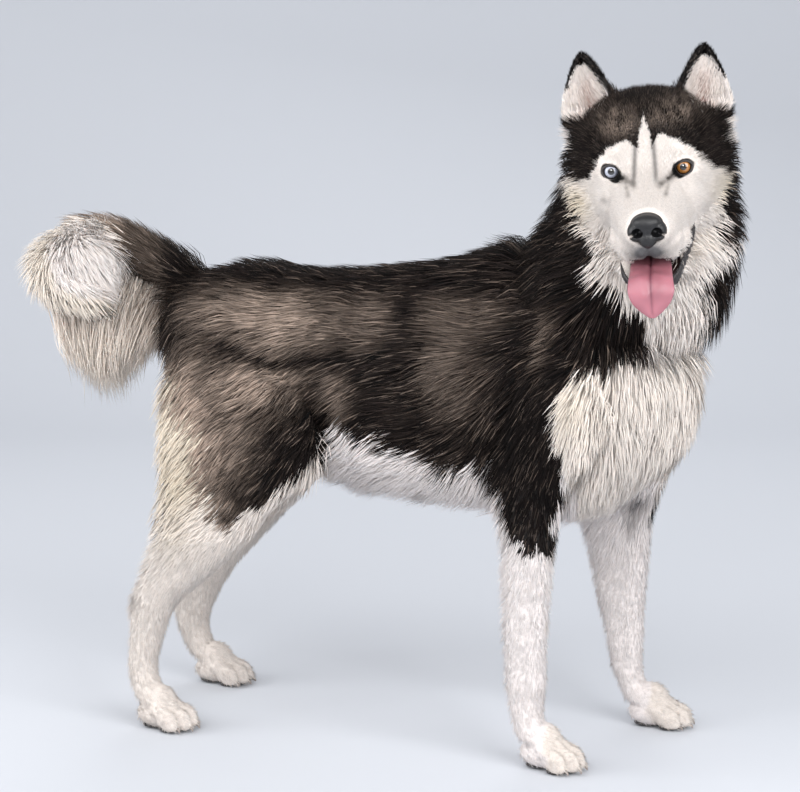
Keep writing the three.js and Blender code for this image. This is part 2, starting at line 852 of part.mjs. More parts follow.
// Locks fuse with their own core and are cut clear of every other core and of earlier locks.
const dog = new THREE.Group();
const earlierLocks = [];
for (const name of ORDER) {
  const { colour, locks } = forms[name];
  let solid = cores[name];
  if (locks) {
    const others = ORDER.filter((other) => other !== name).map((other) => grown[other]);
    const clear = join(locks(0)).subtract(join([...others, ...earlierLocks]));
    solid = solid.add(clear);
    earlierLocks.push(join(locks(GAP)));
  }
  const material = new THREE.MeshStandardMaterial({ color: colour, roughness: 0.8, metalness: 0 });
  const mesh = new THREE.Mesh(geometryOf(largest(solid)), material);
  mesh.name = name;
  dog.add(mesh);
}

// The frame's origin is under the middle of the whole dog, on the floor.
const box = new THREE.Box3().setFromObject(dog, true);
const centre = box.getCenter(new THREE.Vector3());
dog.position.set(-centre.x, -centre.y, -box.min.z);

export default dog;
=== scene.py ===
import math

import bmesh
import bpy
import numpy as np
from mathutils import Matrix, Vector
from mathutils.bvhtree import BVHTree
from mathutils.kdtree import KDTree


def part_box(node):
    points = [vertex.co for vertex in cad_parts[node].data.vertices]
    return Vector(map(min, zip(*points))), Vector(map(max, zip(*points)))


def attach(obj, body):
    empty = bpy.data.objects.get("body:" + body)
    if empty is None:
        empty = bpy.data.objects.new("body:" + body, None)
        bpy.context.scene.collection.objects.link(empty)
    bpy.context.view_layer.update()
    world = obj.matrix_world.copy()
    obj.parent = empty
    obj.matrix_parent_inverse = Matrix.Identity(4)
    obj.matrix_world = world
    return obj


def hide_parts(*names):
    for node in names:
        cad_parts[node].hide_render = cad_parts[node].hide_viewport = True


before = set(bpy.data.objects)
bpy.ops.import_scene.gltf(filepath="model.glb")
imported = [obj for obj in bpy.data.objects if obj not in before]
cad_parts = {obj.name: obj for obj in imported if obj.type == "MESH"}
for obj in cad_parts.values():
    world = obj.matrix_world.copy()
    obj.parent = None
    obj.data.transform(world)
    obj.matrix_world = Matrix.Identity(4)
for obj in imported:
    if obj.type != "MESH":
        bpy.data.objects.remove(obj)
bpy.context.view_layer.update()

# The dog's place. A life-size standing husky; all sizes below are millimetres in the dog's own frame:
# X forward, Y to its left, Z up from the floor, X = 0 under its right front foot. The head has a frame
# of its own between the eyes: ahead, to the dog's left, up.
X, Y, Z = np.eye(3)
HEAD_AT = np.array([91.0, -80.0, 658.0])
yaw, pitch, roll = np.radians([-77.3, 6.7, 4.1])
AHEAD = np.array([math.cos(yaw) * math.cos(pitch), math.sin(yaw) * math.cos(pitch), -math.sin(pitch)])
LEVEL = np.array([-math.sin(yaw), math.cos(yaw), 0.0])
LEFT = LEVEL * math.cos(roll) + np.cross(AHEAD, LEVEL) * math.sin(roll)
CROWN = np.cross(AHEAD, LEFT)
EYE = {"ahead": -8.0, "apart": 38.0, "radius": 11.5}


def in_frame(origin, along, side, up, place):
    """Points given as (along, side, up) from an origin."""
    place = np.asarray(place, float)
    return origin + place[..., :1] * along + place[..., 1:2] * side + place[..., 2:3] * up


def head_point(*place):
    """A point given in the head's frame."""
    return in_frame(HEAD_AT, AHEAD, LEFT, CROWN, np.array(place, float))


low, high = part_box("eye_left")
SHIFT = 1000 * (np.array(low) + np.array(high)) / 2 - head_point(EYE["ahead"], EYE["apart"], 0)

# The body under the coat: muscle and skin of a still model, one closed skin from muzzle to tail root.
# Each limb and the trunk is a stack of rings given out to the coat's tips, drawn in by the coat's depth.
# Ring rows: [level, lowest, highest, middle, half width, height where it is widest].
TORSO = [
    [-508, 424, 494, 0, 30, 460], [-494, 386, 516, 0, 60, 455], [-460, 350, 529, 0, 85, 445],
    [-420, 326, 537, 0, 96, 440], [-370, 304, 540, 0, 99, 435], [-310, 290, 538, 0, 94, 430],
    [-250, 277, 542, 0, 98, 422], [-190, 270, 549, 0, 107, 415], [-130, 266, 560, 0, 113, 412],
    [-75, 258, 573, 0, 114, 412], [-25, 254, 567, 0, 110, 412], [25, 264, 549, 0, 102, 412],
    [70, 296, 524, 0, 88, 410], [103, 322, 500, 0, 68, 405], [124, 348, 470, 0, 40, 402],
    [132, 374, 438, 0, 16, 402],
]
NECK = [
    [690, 12, 124, 0, 52, 68], [662, -20, 160, 4, 84, 70], [622, -42, 178, 7, 98, 68],
    [580, -62, 180, 6, 103, 59], [540, -84, 172, 2, 104, 44], [500, -106, 160, 0, 102, 27],
    [466, -110, 138, 0, 92, 14],
]
FRONT_RIGHT = [
    [470, -78, 30, -66, 36], [415, -84, 58, -78, 38], [360, -86, 44, -86, 38], [320, -84, 20, -90, 36],
    [285, -76, 8, -94, 33], [250, -68, 2, -98, 31], [187, -64, -2, -103, 27], [130, -60, -5, -105, 24],
    [95, -58, -5, -105, 25], [70, -54, -8, -105, 22.5], [48, -49, -6, -106, 22.5], [28, -42, 4, -107, 24],
]
FRONT_LEFT = [
    [470, -66, 60, 66, 40], [415, -68, 92, 76, 42], [360, -68, 97, 80, 42], [320, -60, 86, 84, 38],
    [285, -46, 74, 88, 35], [250, -34, 63, 91, 32], [205, -22, 58, 95, 28], [145, -10, 53, 97, 25],
    [105, 0, 52, 97, 23.5], [67, 8, 51, 97, 22], [45, 17, 57, 97, 22.5], [26, 26, 70, 97, 24],
]
HIND_RIGHT = [
    [470, -470, -350, -55, 42], [420, -488, -298, -66, 48], [365, -494, -280, -76, 49],
    [315, -494, -288, -86, 44], [265, -494, -336, -96, 38], [225, -498, -367, -104, 33],
    [186, -506, -409, -108, 28], [150, -520, -450, -111, 24], [118, -518, -467, -113, 21.5],
    [75, -521, -479, -115, 19.5], [48, -516, -473, -117, 21], [28, -505, -462, -118, 24],
]
HIND_LEFT = [
    [470, -472, -352, 55, 42], [420, -492, -308, 66, 48], [365, -502, -298, 74, 48],
    [315, -508, -316, 80, 42], [265, -514, -364, 84, 36], [225, -524, -402, 87, 31],
    [183, -543, -442, 88, 26], [148, -563, -473, 88, 23.5], [113, -566, -496, 88, 21],
    [75, -559, -510, 87, 19.5], [46, -548, -502, 87, 21], [28, -532, -488, 86, 24],
]
HEAD = [
    [-128, -5, 45, 0, 40, 20], [-112, -45, 66, 0, 72, 10], [-86, -70, 79, 0, 92, -5],
    [-60, -84, 82, 0, 99, -20], [-36, -90, 77, 0, 92, -32], [-18, -89, 64, 0, 78, -38],
    [-6, -86, 47, 0, 67, -42], [6, -83, 24, 0, 57, -45], [18, -81, 6, 0, 49, -47],
    [35, -79, -6, 0, 42, -49], [55, -78, -16, 0, 36, -51], [75, -76, -25, 0, 31, -52],
    [88, -73, -33, 0, 25, -53], [94, -67, -40, 0, 18, -54],
]
JAW = [
    [-40, -128, -84, 0, 46, -106], [-5, -122, -78, 0, 43, -98], [25, -120, -78, 0, 36, -94],
    [50, -124, -94, 0, 28, -106], [68, -126, -100, 0, 22, -110], [78, -122, -104, 0, 14, -112],
]
# How deep the coat is: [way along the stack from 0 to 1, at the lowest, at the highest, at the sides].
TORSO_COAT = [
    [0, 9, 9, 9], [0.1, 16, 12, 13], [0.4, 24, 12, 15], [0.7, 26, 13, 17], [0.9, 20, 16, 17],
    [1, 12, 12, 9],
]
NECK_COAT = [[0, 14, 14, 16], [0.3, 26, 24, 26], [1, 26, 26, 26]]
FRONT_COAT = [[0, 12, 10, 10], [0.25, 16, 9, 9], [0.42, 12, 6, 6], [0.6, 6, 4, 4], [1, 3, 3, 3]]
HIND_COAT = [
    [0, 20, 12, 12], [0.3, 26, 10, 12], [0.42, 20, 7, 8], [0.55, 9, 5, 5], [0.7, 5, 4, 4], [1, 3, 3, 3],
]
HEAD_COAT = [
    [0, 14, 8, 14], [0.3, 14, 8, 17], [0.38, 9, 7, 11], [0.54, 4, 4, 5], [0.7, 2.5, 2, 2.5], [1, 1, 1, 1],
]
JAW_COAT = [[0, 14, 4, 6], [0.5, 8, 3, 3], [1, 3, 1.5, 1.5]]
# The tail: [x, y, z, half width] of its coat, and how deep that coat is.
TAIL = [
    [-424, -4, 500, 34], [-467, -5, 510, 36], [-518, -8, 534, 36], [-560, -14, 558, 34],
    [-596, -22, 566, 36], [-622, -40, 558, 41], [-640, -60, 538, 40], [-626, -74, 518, 37],
    [-598, -80, 508, 32], [-572, -79, 499, 28],
]
TAIL_COAT = 24
TRUNK_AXES = (np.zeros(3), X, Y, Z)
LIMB_AXES = (np.zeros(3), Z, Y, X)
HEAD_AXES = (HEAD_AT, AHEAD, LEFT, CROWN)


def metres(points):
    """Points of the dog's own frame in the frame's metres."""
    return (np.asarray(points) + SHIFT) / 1000


def unit(vectors, least=0.0):
    """Vectors brought to length 1; least keeps a length of 0 from being divided by."""
    return vectors / (np.linalg.norm(vectors, axis=-1, keepdims=True) + least)


def between(rows, t):
    """Smooth values between the rows of a table, at row numbers t."""
    rows = np.asarray(rows, float)
    last = len(rows) - 1
    t = np.clip(np.asarray(t, float), 0, last)
    i = np.minimum(t.astype(int), last - 1)
    s = (t - i)[:, None]
    a, b, c, d = (rows[np.clip(i + k, 0, last)] for k in (-1, 0, 1, 2))
    return b + 0.5 * s * (c - a + s * (2 * a - 5 * b + 4 * c - d + s * (3 * (b - c) + d - a)))


def with_widest(rows):
    """Rows that don't say where they are widest get it halfway up."""
    return [row + [(row[1] + row[2]) / 2] if len(row) == 5 else row for row in rows]


def stack_rings(rows, axes, coat=None, sides=40, steps=5, square=2.2):
    """Rings of points round a stack, drawn in by its coat's depth; square is 2 for an ellipse."""
    rows = with_widest(rows)
    last = len(rows) - 1
    t = np.linspace(0, last, last * steps + 1)
    level, lowest, highest, middle, half, widest = between(rows, t).T[:, :, None]
    depth = np.array(coat if coat else [[0, 0, 0, 0], [1, 0, 0, 0]], float)
    at_low, at_high, at_side = (np.interp(t / last, depth[:, 0], depth[:, k])[:, None] for k in (1, 2, 3))
    angle = np.arange(sides) * 2 * math.pi / sides
    across, rise = (np.sign(v) * np.abs(v) ** (2 / square) for v in (np.cos(angle), np.sin(angle)))
    reach = np.where(rise > 0, highest - widest - at_high, widest - lowest - at_low)
    inset = np.sign(rows[-1][0] - rows[0][0]) * at_side * (1 - 2 * t[:, None] / last)
    along = level + 0.7 * inset + 0 * across
    return in_frame(*axes, np.stack([along, middle + across * (half - at_side), widest + rise * reach], -1))


def tube_rings(rows, flat, sides=20, steps=6):
    """Rings round a bent path; a row is [x, y, z, half width, half thickness], thin along flat."""
    rows = np.array([list(row) + [row[3]] if len(row) == 4 else list(row) for row in rows], float)
    last = len(rows) - 1
    t = np.linspace(0, last, last * steps + 1)
    made = between(rows, t)
    along = between(rows, t + 0.05)[:, :3] - between(rows, t - 0.05)[:, :3]
    along = unit(along)
    side = unit(np.cross(along, flat))
    up = np.cross(side, along)
    angle = np.arange(sides) * 2 * math.pi / sides
    across = side[:, None] * np.cos(angle)[:, None] * made[:, None, 3:4]
    rise = up[:, None] * np.sin(angle)[:, None] * made[:, None, 4:5]
    return made[:, None, :3] + across + rise


def new_piece(name, points, faces):
    """A mesh object from points in millimetres."""
    mesh = bpy.data.meshes.new(name)
    mesh.from_pydata(metres(points).tolist(), [], faces)
    piece = bpy.data.objects.new(name, mesh)
    bpy.context.scene.collection.objects.link(piece)
    return piece


def skinned(name, rings):
    """A closed piece over rings of points, with rounded ends."""
    count, sides = rings.shape[:2]
    points = rings.reshape(-1, 3)
    faces = []
    for ring in range(count - 1):
        for side in range(sides):
            a, b = ring * sides + side, ring * sides + (side + 1) % sides
            faces.append((a, b, b + sides, a + sides))
    ends = []
    for ring, inner in ((0, 1), (count - 1, count - 2)):
        middle = rings[ring].mean(0)
        out = middle - rings[inner].mean(0)
        size = np.linalg.norm(rings[ring] - middle, axis=1).mean()
        ends.append(middle + 0.12 * size * out / np.linalg.norm(out))
        tip = len(points) + len(ends) - 1
        for side in range(sides):
            a, b = ring * sides + side, ring * sides + (side + 1) % sides
            faces.append((b, a, tip) if ring == 0 else (a, b, tip))
    piece = new_piece(name, np.vstack([points, ends]), faces)
    outwards(piece)
    return piece


def outwards(piece):
    shape = bmesh.new()
    shape.from_mesh(piece.data)
    bmesh.ops.recalc_face_normals(shape, faces=shape.faces)
    shape.to_mesh(piece.data)
    shape.free()


def only(piece):
    """Makes one piece the selected and active one."""
    bpy.ops.object.select_all(action="DESELECT")
    piece.select_set(True)
    bpy.context.view_layer.objects.active = piece
    return piece


def ball(place, radii, axes=HEAD_AXES, turn=0, tip=0, tilt=0, segments=32):
    """A ball stretched along (along, side, up), turned about up, tipped about side, tilted about along."""
    bpy.ops.mesh.primitive_uv_sphere_add(segments=segments, ring_count=segments // 2, radius=1)
    piece = bpy.context.object
    origin, along, side, up = axes
    basis = Matrix(np.array([along, side, up]).T.tolist()).to_4x4()
    spin = Matrix.Rotation(math.radians(turn), 4, "Z") @ Matrix.Rotation(math.radians(tip), 4, "Y")
    spin = spin @ Matrix.Rotation(math.radians(tilt), 4, "X")
    centre = Vector(metres(in_frame(*axes, np.array(place, float))))
    stretch = Matrix.Diagonal([r / 1000 for r in radii] + [1])
    piece.data.transform(Matrix.Translation(centre) @ basis @ spin @ stretch)
    if np.linalg.det(np.array([along, side, up])) < 0:
        piece.data.flip_normals()
    return piece


def join(name, pieces):
    bpy.ops.object.select_all(action="DESELECT")
    for piece in pieces:
        piece.select_set(True)
    bpy.context.view_layer.objects.active = pieces[0]
    bpy.ops.object.join()
    pieces[0].name = pieces[0].data.name = name
    return pieces[0]


def modify(piece, kind, **settings):
    """Adds a modifier and applies it."""
    only(piece)
    modifier = piece.modifiers.new(kind.title(), kind)
    for setting, value in settings.items():
        setattr(modifier, setting, value)
    bpy.ops.object.modifier_apply(modifier=modifier.name)
    return piece


def fused(name, pieces, grain):
    """Overlapping closed pieces remeshed as one skin, with faces about one grain across."""
    return modify(join(name, pieces), "REMESH", mode="VOXEL", voxel_size=grain / 1000, use_smooth_shade=True)


def combine(piece, tools, operation):
    for tool in tools:
        modify(piece, "BOOLEAN", operation=operation, solver="MANIFOLD", object=tool)
        bpy.data.objects.remove(tool)
    piece.data.materials.clear()
    return piece


def mesh_arrays(piece):
    """Points and normals in the dog's frame, and triangles."""
    mesh = piece.data
    mesh.calc_loop_triangles()
    points = np.empty(len(mesh.vertices) * 3)
    mesh.vertices.foreach_get("co", points)
    normals = np.empty(len(mesh.vertices) * 3)
    mesh.vertices.foreach_get("normal", normals)
    triangles = np.empty(len(mesh.loop_triangles) * 3, int)
    mesh.loop_triangles.foreach_get("vertices", triangles)
    return points.reshape(-1, 3) * 1000 - SHIFT, normals.reshape(-1, 3), triangles.reshape(-1, 3)


def ease(value, low, high):
    """0 below low, 1 above high, smooth between."""
    t = np.clip((value - low) / (high - low), 0, 1)
    return t * t * (3 - 2 * t)


def head_places(points):
    """Where points lie from the head: ahead, to the dog's left, up."""
    away = points - HEAD_AT
    return away @ AHEAD, away @ LEFT, away @ CROWN


def foot_axes(x, y, heading):
    """The frame of a foot on the floor that points to heading degrees from forward."""
    turn = math.radians(heading)
    along = np.array([math.cos(turn), math.sin(turn), 0])
    return np.array([x, y, 0.0]), along, np.cross(Z, along), Z


TOES = ((-18, 18, -12), (-6.8, 28, -4), (6.8, 28, 4), (18, 18, 12))


def paw_shape(x, y, heading, fur):
    """The parts of a foot's knuckled pad and four toes, drawn in by its fur's depth."""
    axes = foot_axes(x, y, heading)
    narrowed = 0.4 * fur
    parts = [ball([0, 0, 17.5], [32 - fur, 24 - fur, 17], axes)]
    parts.append(ball([-3, 0, 31], [23, 19.5, 21], axes, tip=22))
    for side, reach, turn in TOES:
        parts.append(ball([reach, side, 15.5], [19 - fur, 9.6 - narrowed, 15 - fur], axes, turn=turn, tip=8))
        parts.append(ball([reach + 5, side * 1.05, 9.5], [13, 9 - narrowed, 8.5], axes, turn=turn))
        parts.append(ball([reach - 12, side * 0.85, 23], [15, 8.5, 12], axes, turn=turn, tip=30))
    return parts


PAW_FUR = 3
# Each foot's place on the floor, x and y, and the way it points in degrees.
PAWS = {
    "front_paw_right": (-8, -106.5, -8), "front_paw_left": (62, 96.5, 6),
    "hind_paw_right": (-476, -118, -4), "hind_paw_left": (-500, 86, 4),
}
EARS = {}
for sign in (-1, 1):
    lean, outward = math.radians(3.5 if sign > 0 else -5), math.radians(20 * sign)
    ear_up = CROWN * math.cos(lean) + LEFT * math.sin(lean)
    facing = AHEAD * math.cos(outward) + LEFT * math.sin(outward)
    ear_side = np.cross(ear_up, facing)
    ear_side /= np.linalg.norm(ear_side)
    EARS[sign] = (head_point(-78, 60 * sign, 44), ear_up, ear_side, np.cross(ear_side, ear_up))
EAR = [
    [-22, -20, 12, -6, 30], [-6, -20, 19, -6, 38], [12, -18, 18, -4, 39], [32, -15, 13, -1, 31],
    [53, -10, 9, 0, 21], [67, -6, 6, 0, 12.5], [76, -3, 3, 0, 4.5],
]
EAR_COAT = [[0, 4, 2, 2], [0.6, 3, 1, 1.5], [0.85, 1.5, 0.5, 0.5], [1, 0.5, 0.3, 0.3]]
EAR_CUP = [
    [8, -10, 34, -2, 29], [30, -8, 29, 0, 25], [50, -4.5, 24, 0, 16], [64, -1.5, 18, 0, 7],
    [71, 0, 14, 0, 1],
]


def body_parts(drawn_in):
    """The trunk, neck, legs and tail, drawn in to the skin or out to the tips of the coat."""
    parts = []
    for name, rows, axes, coat, sides in (
        ("trunk", TORSO, TRUNK_AXES, TORSO_COAT, 56),
        ("neck_part", NECK, LIMB_AXES, NECK_COAT, 56),
        ("leg", FRONT_RIGHT, LIMB_AXES, FRONT_COAT, 40),
        ("leg", FRONT_LEFT, LIMB_AXES, FRONT_COAT, 40),
        ("leg", HIND_RIGHT, LIMB_AXES, HIND_COAT, 40),
        ("leg", HIND_LEFT, LIMB_AXES, HIND_COAT, 40),
    ):
        parts.append(skinned(name, stack_rings(rows, axes, coat if drawn_in else None, sides)))
    curl_radii = [36, 24, 36] if drawn_in else [48, 38, 46]
    parts.append(ball([-606, -52, 538], curl_radii, TRUNK_AXES))
    tail_coat = TAIL_COAT if drawn_in else 0
    parts.append(skinned("tail_part", tube_rings([row[:3] + [row[3] - tail_coat] for row in TAIL], Y)))
    return parts


def head_parts(drawn_in):
    """Skull, jaw, brows, muzzle pads and cheeks, drawn in to the skin or out to the coat's tips."""
    skull_coat, jaw_coat, thin = (HEAD_COAT, JAW_COAT, 3) if drawn_in else (None, None, 0)
    parts = [
        skinned("skull", stack_rings(HEAD, HEAD_AXES, skull_coat, sides=64, steps=6)),
        skinned("jaw_part", stack_rings(JAW, HEAD_AXES, jaw_coat, sides=48)),
    ]
    for sign in (-1, 1):
        parts += [
            ball([-20, 31 * sign, 22], [24 - thin, 26 - thin, 19 - thin], tip=-20),
            ball([56, 18 * sign, -65], [34, 18, 17], turn=-9 * sign),
            ball([40, 26 * sign, -66], [30, 15, 17], turn=-16 * sign),
            ball([79, 10 * sign, -69], [14, 12.5, 10.5]),
            ball([64, 20 * sign, -71], [25, 12, 13.5], turn=-12 * sign),
            ball([-4, 45 * sign, -32], [34 - thin, 17 - thin, 27 - thin], turn=-28 * sign),
        ]
    return parts


skull = fused("skull", head_parts(True), 2.2)
hollows = [ball([21, 45 * sign, -1], [17, 20, 12.5], turn=30 * sign) for sign in (-1, 1)]
combine(skull, hollows, "DIFFERENCE")
lids = [ball([EYE["ahead"], EYE["apart"] * sign, 0], [14.2, 14.2, 13.6]) for sign in (-1, 1)]
combine(skull, lids, "UNION")
modify(skull, "SMOOTH", factor=0.6, iterations=4)
LID_TILT = 16
openings = []
for sign in (-1, 1):
    middle = [EYE["ahead"] + 14, (EYE["apart"] + 0.6) * sign, 0]
    openings.append(ball(middle, [15, 9.6, 7.5], turn=8 * sign, tilt=LID_TILT * sign))
MOUTH = [
    [10, -90, -74, 6, 18], [30, -98, -76, 5, 26], [60, -106, -78, 3, 26], [82, -109, -79, 0, 20],
    [100, -109, -79, 0, 15],
]
mouth = skinned("mouth", stack_rings(MOUTH, HEAD_AXES, sides=32))
nose_bed = ball([95, 0, -49], [13, 20.5, 15.5])
combine(skull, openings + [mouth, nose_bed], "DIFFERENCE")
ears = []
for sign in (-1, 1):
    shell, hollow = ([row[:3] + [row[3] * sign] + row[4:] for row in rows] for rows in (EAR, EAR_CUP))
    ear = skinned("ear", stack_rings(shell, EARS[sign], EAR_COAT, sides=40))
    ears.append(combine(ear, [skinned("cup", stack_rings(hollow, EARS[sign], sides=36))], "DIFFERENCE"))
feet = [part for place in PAWS.values() for part in paw_shape(*place, PAW_FUR)]
fine = fused("fine_parts", [skull] + ears + feet, 1.7)
modify(fine, "SMOOTH", factor=0.5, iterations=3)
skin = fused("skin", body_parts(True), 3.6)
modify(skin, "SMOOTH", factor=0.6, iterations=8)
combine(skin, [fine], "UNION")
joint = skin.vertex_groups.new(name="joints")
points, _, _ = mesh_arrays(skin)
ahead, left, up = head_places(points)
wrist = ease(points[:, 2], 22, 34) * ease(-points[:, 2], -72, -58)
nape = ease(-ahead, 72, 96) * ease(np.hypot(ahead, left), 0, 1) * ease(-ahead, 200, 165)
nape *= ease(points[:, 2], 480, 520)
for share in (0.25, 0.5, 0.75, 1.0):
    chosen = np.flatnonzero(np.abs(np.maximum(wrist, nape) - share) <= 0.125)
    joint.add(chosen.tolist(), share, "REPLACE")
modify(skin, "SMOOTH", factor=0.8, iterations=14, vertex_group="joints")
skin.data.shade_smooth()
# The surface at the coat's tips, which tells how far each hair stands off the skin.
outer = fused("outer", body_parts(False) + head_parts(False), 6)
corners_of_faces = [face.vertices for face in outer.data.polygons]
outer_bvh = BVHTree.FromPolygons([point.co for point in outer.data.vertices], corners_of_faces)
bpy.data.objects.remove(outer)

# The markings of skin and coat: a dark saddle, cap and ruff over white face, chest, belly and legs, with
# cream and brown bands through the saddle, and grey painted shade beneath the belly and down the legs.
# Colours are those of clean hair in daylight, but for the ear's pink, which is darkened with painted shade.
BLACK = np.array([0.0035, 0.003, 0.003])
DARK = np.array([0.007, 0.0053, 0.005])
BROWN = np.array([0.1, 0.072, 0.056])
TAN = np.array([0.42, 0.325, 0.265])
CREAM = np.array([0.72, 0.62, 0.49])
WHITE = np.array([0.9, 0.825, 0.8])
GREY = np.array([0.3, 0.29, 0.3])
# Ear-cup pink, darkened with painted shade of the cup's hollow.
SHADED_PINK = np.array([0.3, 0.165, 0.135])


def ripple(points, size, seed):
    """Smooth noise from about -1 to 1 whose patches are about size across."""
    draw = np.random.default_rng(seed)
    total = np.zeros(len(points))
    for _ in range(7):
        way = draw.normal(size=3)
        way *= 2 * math.pi / (size * np.linalg.norm(way) * draw.uniform(1.3, 3.0))
        total += np.sin(points @ way + draw.uniform(0, 2 * math.pi))
    return total / 3


def blob(u, v, at, spread, strength=1.0):
    """A soft round patch."""
    return strength * np.exp(-(((u - at[0]) / spread[0]) ** 2) - ((v - at[1]) / spread[1]) ** 2)


def near_line(u, v, line, width):
    """1 on a bent line of (u, v) points, fading to 0 a few widths away."""
    best = np.full(len(u), 1e9)
    for (u0, v0), (u1, v1) in zip(line[:-1], line[1:]):
        du, dv = u1 - u0, v1 - v0
        t = np.clip(((u - u0) * du + (v - v0) * dv) / (du * du + dv * dv), 0, 1)
        best = np.minimum(best, np.hypot(u - u0 - t * du, v - v0 - t * dv))
    return np.exp(-((best / width) ** 2))


def depth_within(u, v, outline):
    """How far points lie inside a rounded outline, given clockwise."""
    outline = np.array(outline, float)
    best = np.full(len(u), 1e9)
    for (u0, v0), (u1, v1) in zip(outline, np.roll(outline, -1, 0)):
        du, dv = u1 - u0, v1 - v0
        best = np.minimum(best, (dv * (u - u0) - du * (v - v0)) / math.hypot(du, dv))
    return best


def blobs(u, v, rows):
    """Soft round patches added up, each given as its place, spread and strength."""
    return sum(blob(u, v, row[:2], row[2:4], row[4]) for row in rows)


def table_at(value, table):
    """What a table of (key, result) gives at a value between its keys."""
    keys, results = zip(*table)
    return np.interp(value, keys, results)


BELLY_LINE = [
    (-320, 362), (-264, 362), (-209, 346), (-173, 337), (-144, 318), (-85, 322), (-60, 316), (0, 316),
]
CHEST_EDGE = [(235, 0), (265, 1), (291, 7), (318, 10), (338, 10), (364, 2), (389, -3), (411, -6), (434, 10)]
SMUDGES = [(48, 268, 13, 12, 0.95), (40, 244, 8, 16, 0.6)]
CHEST_TOP = [(0, 420), (16, 434), (51, 438), (62, 448), (73, 453), (110, 456), (135, 452)]
LEG_PATCH_FOOT = [(-66, 302), (-59, 273), (-46, 250), (-22, 239), (0, 238), (20, 245)]
THIGH_BACK = [
    (240, -384), (262, -404), (278, -414), (293, -428), (320, -424), (346, -434), (370, -456), (430, -500),
]
TAIL_WHITE = [
    (-564, 592), (-546, 565), (-538, 540), (-527, 500), (-547, 493), (-572, 495), (-609, 509), (-628, 527),
    (-634, 560), (-622, 588), (-591, 596),
]
FLANK_HOLLOW = (-207, 438)
THIGH_FRONT = [(-384, 243), (-359, 262), (-336, 280), (-307, 304), (-285, 325)]
# The white of face and throat ends at these angles round the neck, by height.
WHITE_RIGHT = [
    (450, -52), (479, -57), (496, -68), (504, -79), (524, -84), (534, -98), (557, -109), (576, -117),
    (591, -124), (611, -145),
]
WHITE_LEFT = [
    (450, 30), (465, 18), (480, -6), (513, -17), (530, -21), (544, -11), (564, 0), (575, 25), (593, 29),
    (630, 45),
]
BROW_LINE = [
    (-104, -24), (-93, -18), (-62, -6), (-56, 8), (-50, 15), (-37, 28), (-21, 35), (-14, 28), (-6, 18),
    (4, 18), (9, 28), (14, 37), (31, 32), (49, 17), (61, 3), (71, -3), (87, -10), (104, -16),
]
FACE_RIGHT = [
    (-170, -5), (-159, -14), (-150, -27), (-131, -34), (-120, -47), (-97, -61), (-77, -76), (-47, -87),
    (-20, -95),
]
FACE_LEFT = [(-155, 38), (-134, 55), (-124, 64), (-106, 72), (-85, 79), (-40, 83), (-10, 82)]


def turned(across, rise, sign):
    """Places along and across an eye's opening, which is tilted up at its outer corner."""
    tilt = math.radians(LID_TILT) * sign
    return across * math.cos(tilt) + rise * math.sin(tilt), rise * math.cos(tilt) - across * math.sin(tilt)


# Soft patches on the trunk, seen from the side: [x, z, their half widths, strength].
BANDS = [
    (-338, 480, 60, 32, 1.05), (-425, 488, 36, 26, 0.36), (-128, 435, 42, 62, 0.24),
    (-95, 505, 55, 26, 0.15), (-225, 478, 24, 30, 0.35), (-352, 412, 36, 30, 0.95),
    (-262, 402, 16, 24, 0.5), (-445, 375, 30, 60, 0.7), (-400, 330, 40, 50, 0.35), (-22, 470, 9, 34, 0.35),
]
RIB_DARK = [(-181, 505), (-186, 437), (-134, 350)]
LOIN_DARK = [(-410, 452), (-391, 445), (-344, 430), (-261, 443), (-186, 437)]
COLLAR = [(17, 498), (48, 476), (73, 454), (100, 450), (130, 450)]
# And on the head, seen from in front: [left, up, half widths, strength].
FROST = [(-30, 50, 19, 13, 0.42), (30, 58, 24, 12, 0.4)]
CHEEK_CREAM = [(-82, -38, 16, 22, 0.7), (84, -30, 14, 24, 0.7), (60, -108, 24, 22, 0.3)]
STUBBLE = [(0, -73, 21, 9, 1.3), (0, -60, 29, 10, 0.5)]
SEAMS = (-12.5, 8.8)
SEAM_WIDTH = 2.7


